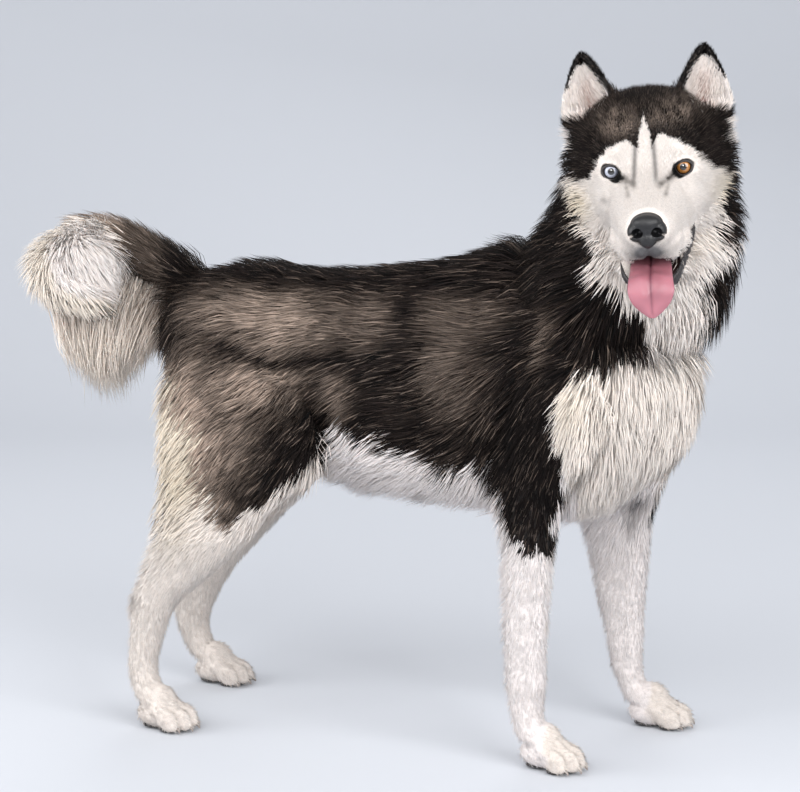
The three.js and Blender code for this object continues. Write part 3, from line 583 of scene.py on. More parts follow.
def markings(points, normals):
    """Shares of dark, banding, cream, grey with painted shade, and bare black at each point, and which lie
    on the head.
    """
    x, y, z = points.T
    ragged = 5 * ripple(points, 14, 1) + 3 * ripple(points, 6, 2)
    forward = np.where(y > 0, 62, 0) * (1 - ease(z, 330, 470))
    leg_x = x - forward
    side = np.abs(y)
    # Trunk: dark above the belly line, white chest in front.
    dark = ease(z + 1.6 * ragged - table_at(x, BELLY_LINE), -13, 11)
    below_collar = ease(table_at(x, CHEST_TOP) - z + ragged, -6, 6)
    chest = ease(leg_x + ragged - table_at(z, CHEST_EDGE), -5, 5) * below_collar
    chest = np.maximum(chest, ease(x, 60, 90) * below_collar)
    chest *= 1 - ease(y + 0.5 * ragged, 66, 76) * ease(z, 385, 402)
    dark *= 1 - chest
    # Forelegs: a dark patch on the upper outside.
    fore = ease(x, -95, -85) * ease(-z, -330, -318)
    outward = np.sign(y) * normals[:, 1]
    patch = ease(z + 1.5 * ragged - table_at(leg_x, LEG_PATCH_FOOT), -13, 12)
    patch *= ease(outward + 0.01 * (side - 88), -0.4, -0.1)
    patch *= ease(table_at(z, CHEST_EDGE) - leg_x + ragged, -5, 5) * ease(side, 50, 64)
    dark = dark * (1 - fore) + patch * fore
    # Hind legs: dark on the outside of the thigh, running down to a point above the hock.
    hind_x = x + np.where(y > 0, 22, 0) * (1 - ease(z, 250, 420))
    hind = ease(-x, 270, 290) * ease(-z, -440, -400)
    behind = hind_x + 2 * ragged - table_at(z, THIGH_BACK)
    thigh = ease(behind, -34, 30)
    thigh *= ease(z + ragged - table_at(hind_x, THIGH_FRONT), -6, 6)
    thigh *= ease(outward + 0.01 * (side - 70), -0.4, -0.1)
    dark = dark * (1 - hind) + np.maximum(thigh, dark * ease(z, 380, 430) * ease(side, 60, 85)) * hind
    # Neck: black, with the throat and bib white between two angles.
    angle = np.degrees(np.arctan2(y, x - 50))
    neck = ease(z, 440, 452) * ease(x, -125, -100)
    inside = np.minimum(angle - table_at(z, WHITE_RIGHT), table_at(z, WHITE_LEFT) - angle) * 1.6
    throat = ease(inside + ragged, -5, 5) * neck * ease(np.hypot(x - 50, y), 30, 50)
    dark = np.maximum(dark, neck * (1 - throat)) * (1 - throat)
    # Head: cap, blaze, brows, cheeks.
    ahead, left, up = head_places(points)
    on_head = ease(up, -100, -92) * ease(np.hypot(left, ahead + 30), 150, 140) * ease(ahead, -135, -118)
    line = table_at(left, BROW_LINE) + 0.16 * np.clip(-20 - ahead, 0, 80) * ease(np.abs(left), 40, 70)
    wedge = 7.6 * ease(-up, -62, -30) - 0.6
    ragged_face = 0.35 * ragged + 1.5 * ripple(points, 4, 3)
    white_face = ease(line - up + ragged_face, -2.5, 2.5)
    blaze = ease(wedge - np.abs(left + 1) + 0.5 * ragged_face, -2.5, 2.5)
    white_face = np.maximum(white_face, blaze * ease(62 - up, 0, 6) * ease(ahead, -50, -40))
    cheek = np.minimum(left - table_at(up, FACE_RIGHT), table_at(up, FACE_LEFT) - left)
    white_face *= ease(cheek + ragged, -4, 4) * ease(ahead + 0.35 * np.abs(up + 30) + ragged, -92, -78)
    lobe = blob(np.abs(left), up, (92, 27), (8, 15)) * ease(ahead, -98, -84)
    white_face = np.maximum(white_face, ease(lobe, 0.3, 0.6))
    dark = dark * (1 - on_head) + (1 - white_face) * on_head
    seam = np.zeros(len(x))
    for at in SEAMS:
        line = np.exp(-(((left - at * (1 + 0.006 * (10 - up))) / SEAM_WIDTH) ** 2))
        line *= ease(up, -14, -2) * ease(44 - up, 0, 10)
        seam = np.maximum(seam, 0.75 * line * on_head * ease(ahead, -25, -10))
    # Tail: dark along the top of its root, white over the curl, tan on the outer bend.
    tail = ease(-x, 505, 525) * ease(z, 380, 400)
    bulb = ease(depth_within(x, z, TAIL_WHITE) + ragged, -7, 7) * ease(-y, 25, 45)
    tail_top = ease(z - (500 + 0.5 * (-518 - x)) + 1.5 * ragged, -14, 16)
    tail_top *= ease(x + ragged, -655, -610) * (1 - bulb)
    dark = dark * (1 - tail) + tail_top * tail
    # Banding through the dark saddle.
    band = blobs(x, z, BANDS)
    band += hind * (0.3 * ease(-x, 330, 400) * ease(z, 290, 340) + 0.55 * ease(-behind, -50, 10))
    band *= 1 - 0.4 * np.sin((x + 0.3 * z) / 6.5) ** 2 * blob(x, z, (-315, 485), (70, 36))
    band *= 1 - blob(x, z, FLANK_HOLLOW, (34, 20))
    band *= 1 - near_line(x, z, RIB_DARK, 15)
    band *= 1 - near_line(x, z, LOIN_DARK, 10)
    band *= (1 - ease(z + ragged, 503, 528)) * (1 - ease(x, -75, -40) * (1 - ease(x, -30, -22)))
    band += tail * (0.2 + 0.75 * ease(-x, 545, 595))
    band = band * (1 - on_head) + blobs(left, up, FROST) * on_head * ease(ahead, -75, -50)
    # Cream in the white.
    cream = blobs(left, up, CHEEK_CREAM) * on_head
    cream += hind * (0.55 * ease(z, 240, 300) * ease(-hind_x, 380, 430))
    cream += tail * (0.12 + 0.5 * (1 - bulb))
    cream += throat * 0.3 + chest * (0.4 + blob(x, z, (15, 400), (30, 40), 0.3)) + 0.35 * hind
    cream += blob(x, z, (-455, 250), (30, 40), 0.35) * (side > 60)
    # Greys: under the ruff, round the lower nose, on the left foreleg. Painted shade: grey beneath the
    # belly's edge and over the lower legs, more on the dog's left legs.
    grey_and_shade = near_line(x, z, COLLAR, 8) * (side < 100) * ease(x, 0, 15) * 0.85
    grey_and_shade += seam + on_head * ease(ahead, 70, 84) * blobs(left, up, STUBBLE)
    grey_and_shade += blob(left, up, (-47, -27), (5, 4), 0.45) * on_head * (ahead > 0)
    grey_and_shade += blobs(x, z, SMUDGES) * ease(y, 15, 30)
    # Painted shade: grey under the belly's edge, where the underside lies in shade.
    grey_and_shade += 0.12 * ease(-z, -345, -300) * ease(z, 200, 260) * ease(-x, -20, 60)
    # Painted shade: grey over the lower legs, and more on the left legs, which lie in shade.
    grey_and_shade += 0.06 * ease(-z, -235, -200) + 0.06 * ease(-z, -260, -230) * (y > 0)
    grey_and_shade += 0.5 * blob(x, z, (-508, 148), (10, 12)) * (y < -90)
    # The bare black of the eyes' surrounds and their inner corners.
    kohl = np.zeros(len(x))
    for sign, lift, corner in ((-1, 0, -6), (1, 1.5, -7)):
        from_eye = left - sign * EYE["apart"]
        u, v = turned(from_eye, up - 0.3, sign)
        kohl = np.maximum(kohl, ease(1.04 - np.hypot(u / 11.9, v / 8.5) + 0.02 * ragged, -0.06, 0.06))
        streak = near_line(left, up, [(sign * 29, -3), (sign * 22, corner)], 4.2)
        inward = near_line(left, up, [(sign * 22, corner), (sign * 14, corner - 3)], 3.6)
        downward = near_line(left, up, [(sign * 23, corner), (sign * 20, corner - 12)], 2.6)
        streak = np.maximum(streak, np.maximum(0.7 * inward, 0.5 * downward))
        kohl = np.maximum(kohl, np.clip(streak * (1.0 + 0.1 * ragged_face), 0, 0.97))
    kohl *= on_head * ease(ahead, -16, -8)
    return dark, band, cream, np.clip(grey_and_shade, 0, 1), kohl, on_head


LIGHT_HAIRS = 0.13


def coat_colours(points, normals, draw, streak):
    """Root, middle and tip colours of a tuft of hair at each point."""
    dark, band, cream, grey_and_shade, kohl, on_head = markings(points, normals)
    count = len(points)
    chance = draw.random(count)
    is_dark = (dark > 0.15 + 0.7 * chance)[:, None]
    varied = 0.018 + (0.5 + 1.6 * on_head) * np.clip(band, 0, 0.6)
    light = 0.85 * band + varied * (0.6 * streak + 0.5 * draw.normal(size=count))
    light += 0.35 * draw.random(count) * (draw.random(count) < LIGHT_HAIRS)
    light = np.clip(light, 0, 1)[:, None]
    dipped = (0.75 * draw.random(count) ** 1.5)[:, None]
    tone = np.exp(0.5 * draw.normal(size=count) + 0.25 * streak)[:, None]
    black_hair = np.stack([DARK * tone, DARK * tone, BLACK + 0.6 * DARK * (tone - 0.4)])
    tan_hair = np.stack([0.8 * BROWN + 0 * light, TAN + 0 * light, TAN * (1 - dipped) + DARK * dipped])
    mixed = black_hair * (1 - light) + tan_hair * light
    cream, grey_and_shade, kohl = np.clip(cream, 0, 1)[:, None], grey_and_shade[:, None], kohl[:, None]
    pale = WHITE * (1 - cream) + CREAM * cream
    # Grey hair darkens the pale hair, and so does the painted shade under the belly and on the lower legs.
    pale = pale * (1 - grey_and_shade) + 0.38 * GREY * grey_and_shade
    pale = pale * (1 + 0.05 * draw.normal(size=count))[:, None]
    white_hair = np.stack([0.92 * pale * [1, 0.99, 0.97], 0.98 * pale, pale])
    made = np.where(is_dark, mixed, white_hair)
    made = made * (1 - kohl) + BLACK * kohl
    return np.clip(made, 0.004, 0.95)


class Wire:
    """A socket of a material's nodes, with arithmetic on it."""

    def __init__(self, paint, socket):
        self.paint, self.socket = paint, socket

    def _math(self, operation, a, b):
        return self.paint.node("ShaderNodeMath", {"operation": operation}, {0: a, 1: b})

    def __sub__(self, other):
        return self._math("SUBTRACT", self, other)

    def __rsub__(self, other):
        return self._math("SUBTRACT", other, self)


class Paint:
    """A material and its nodes."""

    def __init__(self, name):
        self.material = bpy.data.materials.new(name)
        self.material.use_nodes = True
        self.tree = self.material.node_tree
        self.shader = self.tree.nodes["Principled BSDF"]

    def node(self, kind, settings=None, inputs=None, output=0):
        """A node of any kind, with its settings, its sockets' values or links, and one output."""
        made = self.tree.nodes.new(kind)
        for setting, value in (settings or {}).items():
            if setting == "stops":
                ramp = made.color_ramp.elements
                while len(ramp) < len(value):
                    ramp.new(1.0)
                for element, (place, shade) in zip(ramp, value):
                    element.position, element.color = place, (*shade, 1) if len(shade) == 3 else shade
            else:
                setattr(made, setting, value)
        for place, value in (inputs or {}).items():
            self.plug(made.inputs[place], value)
        return Wire(self, made.outputs[output])

    def plug(self, socket, value):
        if isinstance(value, Wire):
            self.tree.links.new(value.socket, socket)
        else:
            socket.default_value = value

    def finish(self, **values):
        """Sets the shader's own sockets and gives the material."""
        for name, value in values.items():
            self.plug(self.shader.inputs[name.replace("_", " ")], value)
        return self.material

    def place(self):
        """The place on the object itself."""
        return self.node("ShaderNodeTexCoord", output=3)

    def noise(self, scale, detail=3.0):
        sockets = {"Vector": self.place(), "Scale": scale, "Detail": detail}
        return self.node("ShaderNodeTexNoise", None, sockets)

    def cells(self, scale):
        return self.node("ShaderNodeTexVoronoi", None, {"Vector": self.place(), "Scale": scale})

    def kept_colour(self):
        """The colour that colour_points keeps at a mesh's points."""
        return self.node("ShaderNodeAttribute", {"attribute_name": "Coat"})

    def blend(self, share, a, b):
        return self.node("ShaderNodeMix", {"data_type": "RGBA"}, {0: share, 6: a, 7: b}, output=2)

    def speckled(self, colour, grain, stops):
        """A colour darkened by a grain from 0 to 1, as the stops say."""
        shade = self.node("ShaderNodeValToRGB", {"stops": stops}, {0: grain})
        settings = {"data_type": "RGBA", "blend_type": "MULTIPLY"}
        return self.node("ShaderNodeMix", settings, {0: 1.0, 6: colour, 7: shade}, output=2)

    def ranged(self, share, low, high):
        """A share from 0 to 1 brought between low and high."""
        return self.node("ShaderNodeMapRange", None, {0: share, 3: low, 4: high})

    def bump(self, height, strength, distance):
        sockets = {"Height": height, "Strength": strength, "Distance": distance}
        return self.node("ShaderNodeBump", None, sockets)


def plain_floats(values):
    """Numbers in one row, as a mesh takes them."""
    return np.asarray(values).astype(np.float32).ravel()


def colour_points(piece, colours):
    """Keeps a colour at each point of a mesh, for its material."""
    attribute = piece.data.attributes.new("Coat", "FLOAT_COLOR", "POINT")
    attribute.data.foreach_set("color", plain_floats(np.hstack([colours, np.ones((len(colours), 1))])))


FLESH = [
    "torso", "neck", "head", "jaw", "ear_left", "ear_right", "front_leg_left", "front_leg_right",
    "thigh_left", "thigh_right", "shank_left", "shank_right", *PAWS, "tail_base", "tail_tip",
]
points, normals, triangles = mesh_arrays(skin)


# Half width of an ear's white, by height up the ear.
RIM_INSIDE = [(0, 30), (8, 30), (30, 26), (50, 16.5), (62, 8), (70, 1)]


def ear_rim(tall, wide, sign):
    """1 on an ear's black edges and tip, 0 over its cup."""
    edge = ease(np.abs(wide) - table_at(tall, RIM_INSIDE), -1.5, 1.5)
    reach = np.where(-sign * wide > 0, ease(tall, 0, 8), ease(tall, 34, 44))
    return np.maximum(edge * reach, ease(tall, 61, 65))


def mouth_depth(points):
    """1 inside the mouth, behind the lips."""
    ahead, left, up = head_places(points)
    levels, low, high, middle, half = np.array(MOUTH, float)[:4].T
    roof, bottom, middle, half = (np.interp(ahead, levels, values) for values in (high, low, middle, half))
    inside = ease(roof + 1 - up, 0, 1.5) * ease(up - bottom + 1, 0, 1.5)
    inside *= ease(half + 1 - np.abs(left - middle), 0, 1.5)
    return inside * ease(ahead, 7, 10) * ease(89 - ahead, 0, 3)


def cup_pink_and_shade(tall, wide):
    """1 in the middle of an ear's cup, where the pink skin shows, darkened with painted shade of the hollow.
    """
    return np.exp(-((wide / 13) ** 2) - ((tall - 20) / 24) ** 2)


# Painted shade: the inside of the mouth is painted a near-black red, for the shade in its hollow.
MOUTH_SHADE = np.array([0.035, 0.014, 0.014])


def bare_colour(points, normals):
    """The skin's colour: that of the coat over it, but for the mouth's inside, painted dark as shade, the
    ear cups, pink with painted shade in their hollows, and the soles.
    """
    draw = np.random.default_rng(5)
    made = coat_colours(points, normals, draw, 0.3 * ripple(points, 9, 8))[1] * 0.94
    inside = mouth_depth(points)[:, None]
    # Inside the mouth the skin takes the painted shade.
    made = made * (1 - inside) + MOUTH_SHADE * inside
    for sign, axes in EARS.items():
        away = points - axes[0]
        tall, wide, front = away @ axes[1], away @ axes[2], away @ axes[3]
        cup = ease(tall, 2, 12) * (normals @ axes[3] > 0.1) * (front > -14)
        cup *= (np.hypot(wide, tall - 30) < 60) * (1 - ear_rim(tall, wide, sign))
        # The cup's pink skin, darker in the hollow: painted shade.
        hollow = cup * cup_pink_and_shade(tall, wide)
        white = WHITE * 0.95 * (1 - hollow[:, None]) + SHADED_PINK * hollow[:, None]
        made = made * (1 - cup[:, None]) + white * cup[:, None]
    sole = ease(-points[:, 2], -4.5, -2.5)[:, None]
    return made * (1 - sole) + BLACK * 2 * sole


colour_points(skin, bare_colour(points, normals))
hide = Paint("short under-coat")
hair = hide.noise(900.0, 4.0)
skin.data.materials.append(
    hide.finish(
        Base_Color=hide.speckled(hide.kept_colour(), hair, [(0.25, (0.7, 0.7, 0.7)), (0.8, (1, 1, 1))]),
        Roughness=0.75,
        Normal=hide.bump(hair, 0.5, 0.0006),
        Specular_IOR_Level=0.25,
    )
)
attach(skin, "root")
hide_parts(*FLESH)

# The coat: dense soft under-fur with guard hairs over it, grown as tufts from the skin that lie back
# along the body, long on ruff, breeches, belly and tail, and very short on face and feet.
# Lie of the coat: [x, y, z, then the way the hair runs x, y, z, its length, a tuft's half width].
ALONG_MIDDLE = [
    [110, 0, 430, 0.1, 0, -1, 42, 1.3], [135, 0, 400, 0, 0, -1, 38, 1.3],
    [60, 0, 290, -0.4, 0, -1, 40, 1.3], [0, 0, 262, -0.9, 0, -0.5, 46, 1.2],
    [-100, 0, 270, -1, 0, -0.45, 52, 1.2], [-220, 0, 285, -1, 0, -0.4, 56, 1.2],
    [-330, 0, 300, -0.9, 0, -0.4, 46, 1.2], [-60, 0, 570, -1, 0, -0.06, 46, 1.1],
    [-200, 0, 548, -1, 0, -0.02, 42, 1.1], [-320, 0, 538, -1, 0, -0.04, 42, 1.1],
    [-440, 0, 532, -1, 0, -0.1, 46, 1.1], [-505, 0, 460, -0.3, 0, -1, 50, 1.2],
    [-470, 0, 380, 0.1, 0, -1, 42, 1.2],
]
ON_SIDES = [
    [10, 70, 540, -1, 0.1, -0.35, 50, 1.2], [-60, 90, 520, -1, 0, -0.2, 46, 1.1],
    [-10, 108, 450, -0.8, 0, -0.6, 42, 1.1], [-130, 100, 490, -1, 0, -0.2, 42, 1.1],
    [-130, 113, 410, -0.95, 0, -0.35, 40, 1.1], [-130, 95, 330, -0.9, 0, -0.5, 46, 1.1],
    [-210, 95, 480, -1, 0, -0.2, 42, 1.1], [-215, 105, 400, -0.95, 0, -0.3, 40, 1.1],
    [-220, 85, 320, -0.85, 0, -0.6, 52, 1.2], [-300, 85, 490, -1, 0, -0.2, 42, 1.1],
    [-290, 95, 420, -0.95, 0, -0.35, 38, 1.1], [-290, 75, 330, -0.8, 0, -0.6, 46, 1.1],
    [-380, 85, 490, -0.95, 0, -0.35, 42, 1.1], [-440, 70, 500, -0.9, 0.1, -0.5, 44, 1.1],
    [-490, 50, 450, -0.4, 0.1, -1, 50, 1.2], [100, 50, 400, 0, 0.25, -1, 38, 1.2],
    [80, 70, 350, -0.15, -0.25, -1, 36, 1.2], [50, 40, 300, -0.3, -0.3, -1, 38, 1.2],
    [60, 85, 440, -0.2, 0.3, -1, 38, 1.2],
]
ON_NECK = [
    [50, 100, 590, -0.45, 0.25, -1, 62, 1.4], [0, 95, 560, -0.6, 0.2, -1, 60, 1.4],
    [-40, 70, 560, -0.9, 0.1, -0.8, 60, 1.3], [-60, 0, 590, -1, 0, -0.7, 58, 1.3],
    [-100, 0, 550, -1, 0, -0.25, 50, 1.2], [-90, 60, 510, -1, 0, -0.4, 52, 1.2],
    [110, 80, 560, -0.1, 0.35, -1, 60, 1.4], [160, 0, 540, 0.15, 0, -1, 58, 1.4],
    [140, 50, 500, 0.05, 0.15, -1, 58, 1.4], [60, 95, 510, -0.3, 0.15, -1, 58, 1.4],
    [-20, 0, 650, -1, 0, -0.5, 46, 1.2],
]
# Legs, from the shoulder or hip down to the foot, for the right side.
ON_FORELEG = [
    [-20, 115, 400, -0.4, 0.05, -1, 34, 1.0], [-60, 108, 350, -0.5, 0, -1, 34, 1.0],
    [-25, 118, 320, -0.2, 0, -1, 24, 0.9], [-75, 98, 300, -0.7, 0, -1, 34, 1.0],
    [-30, 118, 250, -0.12, 0, -1, 17, 0.8], [-64, 100, 240, -0.45, 0, -1, 26, 0.8],
    [-32, 108, 180, -0.1, 0, -1, 13, 0.8], [-60, 105, 170, -0.3, 0, -1, 17, 0.8],
    [-30, 106, 110, 0, 0, -1, 11, 0.75], [-28, 106, 65, 0.15, 0, -1, 10, 0.75],
    [-12, 106, 38, 0.8, 0, -0.6, 9, 0.7], [25, 106, 22, 1, 0, -0.5, 8, 0.7],
]
ON_HIND_LEG = [
    [-390, 115, 420, -0.7, 0, -0.7, 38, 1.1], [-310, 100, 390, -0.6, 0, -0.8, 36, 1.1],
    [-400, 122, 350, -0.6, 0, -0.8, 32, 1.0], [-320, 110, 310, -0.6, 0, -0.8, 26, 0.95],
    [-400, 128, 290, -0.6, 0, -0.8, 24, 0.95], [-485, 80, 400, -0.5, 0, -0.9, 58, 1.3],
    [-490, 85, 340, -0.45, 0, -0.9, 52, 1.3], [-490, 95, 285, -0.4, 0, -0.9, 40, 1.1],
    [-400, 118, 240, -0.65, 0, -0.75, 18, 0.85], [-490, 105, 220, -0.35, 0, -0.9, 24, 0.9],
    [-450, 112, 180, -0.5, 0, -0.85, 13, 0.8], [-500, 113, 140, -0.15, 0, -1, 14, 0.8],
    [-498, 115, 90, 0, 0, -1, 11, 0.75], [-492, 116, 50, 0.3, 0, -1, 10, 0.75],
    [-478, 118, 36, 0.8, 0, -0.6, 9, 0.7], [-445, 118, 22, 1, 0, -0.5, 8, 0.7],
]
# On the head the same in its own frame, for the left side and the middle.
ON_FACE = [
    [75, 0, -24, -1, 0, 0.25, 3.2, 0.45], [45, 0, -8, -1, 0, 0.35, 4, 0.45],
    [20, 0, 8, -0.7, 0, 0.8, 5.5, 0.5], [8, 22, 18, -0.5, 0.15, 1, 7, 0.5],
    [-2, 0, 38, -0.55, 0, 1, 8.5, 0.55], [-18, 20, 55, -0.8, 0.15, 0.9, 11, 0.6],
    [-50, 0, 78, -1, 0, 0.15, 15, 0.7], [-55, 35, 72, -1, 0.2, 0.2, 15, 0.7],
    [-8, 40, 30, -0.7, 0.4, 0.7, 8, 0.55], [-18, 62, 12, -0.85, 0.5, 0.1, 13, 0.6],
    [-45, 78, 20, -0.9, 0.6, -0.1, 30, 0.8], [-90, 0, 72, -1, 0, -0.2, 22, 0.9],
    [-118, 0, 30, -0.6, 0, -0.9, 34, 1.0], [-100, 60, 30, -0.8, 0.2, -0.7, 32, 1.0],
    [75, 18, -45, -0.9, 0.35, 0.05, 3.6, 0.45], [80, 14, -68, -0.6, 0.4, -0.5, 4, 0.45],
    [50, 30, -55, -0.9, 0.35, -0.25, 5, 0.45], [40, 22, -22, -0.9, 0.4, 0.05, 4.5, 0.45],
    [15, 40, -20, -0.7, 0.6, -0.25, 6, 0.5], [20, 44, -60, -0.8, 0.4, -0.45, 8, 0.5],
    [0, 55, -18, -0.7, 0.6, -0.2, 9, 0.55], [-5, 62, -50, -0.7, 0.6, -0.55, 13, 0.65],
    [-30, 82, -25, -0.8, 0.5, -0.35, 22, 0.8], [-35, 82, -60, -0.6, 0.5, -0.8, 27, 0.9],
    [-70, 95, -30, -0.7, 0.5, -0.6, 37, 1.0], [-80, 85, -70, -0.5, 0.35, -0.9, 36, 1.1],
    [-20, 55, -95, -0.3, 0.3, -1, 28, 0.9], [30, 30, -115, -0.6, 0.3, -0.8, 12, 0.6],
    [65, 12, -122, -0.6, 0.1, -0.9, 7, 0.55], [0, 25, -122, -0.3, 0.1, -1, 24, 0.9],
    [10, 0, -122, -0.3, 0, -1, 24, 0.9], [45, 10, -124, -0.5, 0, -1, 12, 0.7],
]


MIRROR = np.array([1, -1, 1, 1, -1, 1, 1, 1])
ELBOW_HEIGHT = 330


def both_sides(rows, offset=0.0):
    """Rows for the right side, and again for the left, below the elbow moved forward by offset."""
    rows = np.array(rows, float)
    shift = np.array([offset, 0, 0, 0, 0, 0, 0, 0])
    return np.vstack([rows * MIRROR, rows + shift * (rows[:, 2:3] < ELBOW_HEIGHT)])


def on_axes(axes, rows):
    """Guides given in a frame of their own, brought to the dog's."""
    rows = np.array(rows, float)
    rows[:, :3] = in_frame(*axes, rows[:, :3])
    rows[:, 3:6] = in_frame(np.zeros(3), *axes[1:], rows[:, 3:6])
    return rows


guides = [np.array(ALONG_MIDDLE, float), both_sides(ON_SIDES), both_sides(ON_NECK)]
guides += [both_sides(ON_FORELEG, 62), both_sides(ON_HIND_LEG, -30)]
guides.append(on_axes(HEAD_AXES, both_sides(ON_FACE)))
ON_EAR = [
    [0, 30, -6, 0.8, 0.5, -0.3, 14, 0.6], [0, 0, -20, 1, 0, -0.2, 15, 0.6],
    [28, 28, -4, 1, 0.1, -0.2, 10, 0.55], [28, 0, -16, 1, 0, 0, 10, 0.55],
    [52, 18, -2, 1, -0.2, -0.1, 7, 0.5], [56, 0, -8, 1, 0, 0, 7, 0.5], [74, 0, -2, 1, 0, 0, 5, 0.45],
]
for axes in EARS.values():
    for across in (MIRROR, 1):
        guides.append(on_axes(axes, np.array(ON_EAR) * across))
tail_line = between(TAIL, np.linspace(0, len(TAIL) - 1, 17))
tail_way = unit(np.gradient(tail_line[:, :3], axis=0))
tail_length = table_at(np.arange(17), [(0, 54), (8, 50), (12, 40), (16, 34)])
tail_hair = np.stack([tail_length, np.full(17, 1.2)], -1)
guides.append(np.hstack([tail_line[:, :3], tail_way, tail_hair])[3:9])
# Over the curl's right side the hair falls straight down at the bend and sweeps forward within it.
CURL_SWEEP = [(-670, 0.0), (-640, 0.25), (-600, 0.65)]
for x in (-670, -645, -620, -595, -570, -550):
    y, sweep = -88 + 0.2 * abs(x + 605), table_at(x, CURL_SWEEP)
    guides.append(np.array([[x, y, z, sweep, 0.05, -0.78, 42, 1.1] for z in (595, 570, 545, 520, 495)]))
GUIDES = np.vstack(guides)
GUIDES[:, 3:6] = unit(GUIDES[:, 3:6])


AT_A_TIME = 8000
# Guides nearer than this count as this near, and their weight falls off by this power of the distance.
NEAREST = 4.0
FALL_OFF = 4.4


def groom(points):
    """Way, length and half width of the hair at each point, from the nearest guides."""
    made = np.empty((len(points), 5))
    for start in range(0, len(points), AT_A_TIME):
        part = points[start : start + AT_A_TIME]
        away = ((part[:, None] - GUIDES[None, :, :3]) ** 2).sum(-1) + NEAREST**2
        weight = away ** (-FALL_OFF / 2)
        made[start : start + AT_A_TIME] = (weight @ GUIDES[:, 3:8]) / weight.sum(1)[:, None]
    return made[:, :3], made[:, 3], made[:, 4]


SLIMMEST = 14


def centre_line(rows, axes):
    """Points down the middle of a stack, each with the stack's mean half width there."""
    fine = between(with_widest(rows), np.linspace(0, len(rows) - 1, 3 * len(rows)))
    middle = in_frame(*axes, np.stack([fine[:, 0], fine[:, 3], (fine[:, 1] + fine[:, 2]) / 2], -1))
    size = (fine[:, 4] + (fine[:, 2] - fine[:, 1]) / 2) / 2
    return np.hstack([middle, np.maximum(size, SLIMMEST)[:, None]])


REGIONS = {
    "torso": [centre_line(TORSO, TRUNK_AXES), Z],
    "neck": [centre_line(NECK, LIMB_AXES), X],
    "head": [np.vstack([centre_line(HEAD, HEAD_AXES), centre_line(JAW, HEAD_AXES)]), CROWN],
    "fore_right": [centre_line(FRONT_RIGHT, LIMB_AXES)[4:], X],
    "fore_left": [centre_line(FRONT_LEFT, LIMB_AXES)[4:], X],
    "hind_right": [centre_line(HIND_RIGHT, LIMB_AXES)[3:], X],
    "hind_left": [centre_line(HIND_LEFT, LIMB_AXES)[3:], X],
    "tail": [tail_line[3:, :4], Y],
    "ear_right": [centre_line(EAR, EARS[-1])[3:], EARS[-1][3]],
    "ear_left": [centre_line(EAR, EARS[1])[3:], EARS[1][3]],
}
REGIONS["head"][0][:, 3] *= 0.85
for name, (x, y, _) in PAWS.items():
    end, _, side_name = name.split("_")
    foot = REGIONS[{"front": "fore", "hind": "hind"}[end] + "_" + side_name]
    foot[0] = np.vstack([foot[0], [[x + step, y, 16, 24] for step in (0, 15, 30)]])
REGION_NAMES = list(REGIONS)


def region_of(points):
    """Which region each point belongs to."""
    nearest = []
    for line, _ in REGIONS.values():
        away = np.linalg.norm(points[:, None] - line[None, :, :3], axis=-1) / line[None, :, 3]
        nearest.append(away.min(1))
    return np.argmin(nearest, 0)


TINY = 1e-9


def unwrap(points, region):
    """A place from 0.03 to 0.97 both ways for each point: its angle round the region and its way along."""
    line, reference = REGIONS[region]
    spots = line[:, :3]
    which = np.linalg.norm(points[:, None] - spots[None], axis=-1).argmin(1)
    along = unit(np.gradient(spots, axis=0), TINY)
    steps = np.concatenate([[0], np.cumsum(np.linalg.norm(np.diff(spots, axis=0), axis=1))])
    away = points - spots[which]
    way = steps[which] + (away * along[which]).sum(1)
    first = unit(reference - (along @ reference)[:, None] * along, TINY)
    second = np.cross(along, first)
    angle = np.arctan2((away * second[which]).sum(1), (away * first[which]).sum(1))
    u, v = 0.5 + angle / (2 * math.pi), (way - way.min()) / (np.ptp(way) + TINY)
    if region.startswith("ear"):
        inside = (away @ EARS[1 if region == "ear_left" else -1][3]) > 0
        v = 0.5 * v + 0.5 * inside
    return 0.03 + 0.94 * np.stack([u, v], -1)


# Where along a blade its rings stand, and how wide each is, for 1, 2 or 3 rings.
BLADES = {
    1: ([0.0], [1.0]),
    2: ([0.0, 0.5], [0.85, 1.0]),
    3: ([0.0, 0.38, 0.74], [0.8, 1.0, 0.66]),
}


DEEPEST_ROOT = 2.5
RIDGE = 0.45
SPOT_SIZE = 0.003


def flat_on(normal, way):
    """The part of each way that lies along the skin."""
    return way - (way * normal).sum(1)[:, None] * normal


def closed_blades(name, points, count, rings):
    """A mesh of three-sided blades, each closed at its root and drawn to a point."""
    polygons = [(0, 2, 1)]
    for ring in range(rings - 1):
        for k in range(3):
            a, b = 3 * ring + k, 3 * ring + (k + 1) % 3
            polygons += [(a, b, b + 3, a + 3)]
    last, tip = 3 * (rings - 1), 3 * rings
    polygons += [(last + k, last + (k + 1) % 3, tip) for k in range(3)]
    sizes = np.tile([len(polygon) for polygon in polygons], count)
    loops = (np.concatenate(polygons)[None] + (tip + 1) * np.arange(count)[:, None]).ravel()
    mesh = bpy.data.meshes.new(name)
    mesh.vertices.add(len(points))
    mesh.vertices.foreach_set("co", plain_floats(metres(points)))
    mesh.loops.add(len(loops))
    mesh.loops.foreach_set("vertex_index", loops.astype(np.int32))
    mesh.polygons.add(len(sizes))
    mesh.polygons.foreach_set("loop_start", np.concatenate([[0], np.cumsum(sizes)[:-1]]).astype(np.int32))
    mesh.polygons.foreach_set("loop_total", sizes.astype(np.int32))
    mesh.polygons.foreach_set("use_smooth", np.ones(len(sizes), bool))
    mesh.update(calc_edges=True)
    return mesh, loops


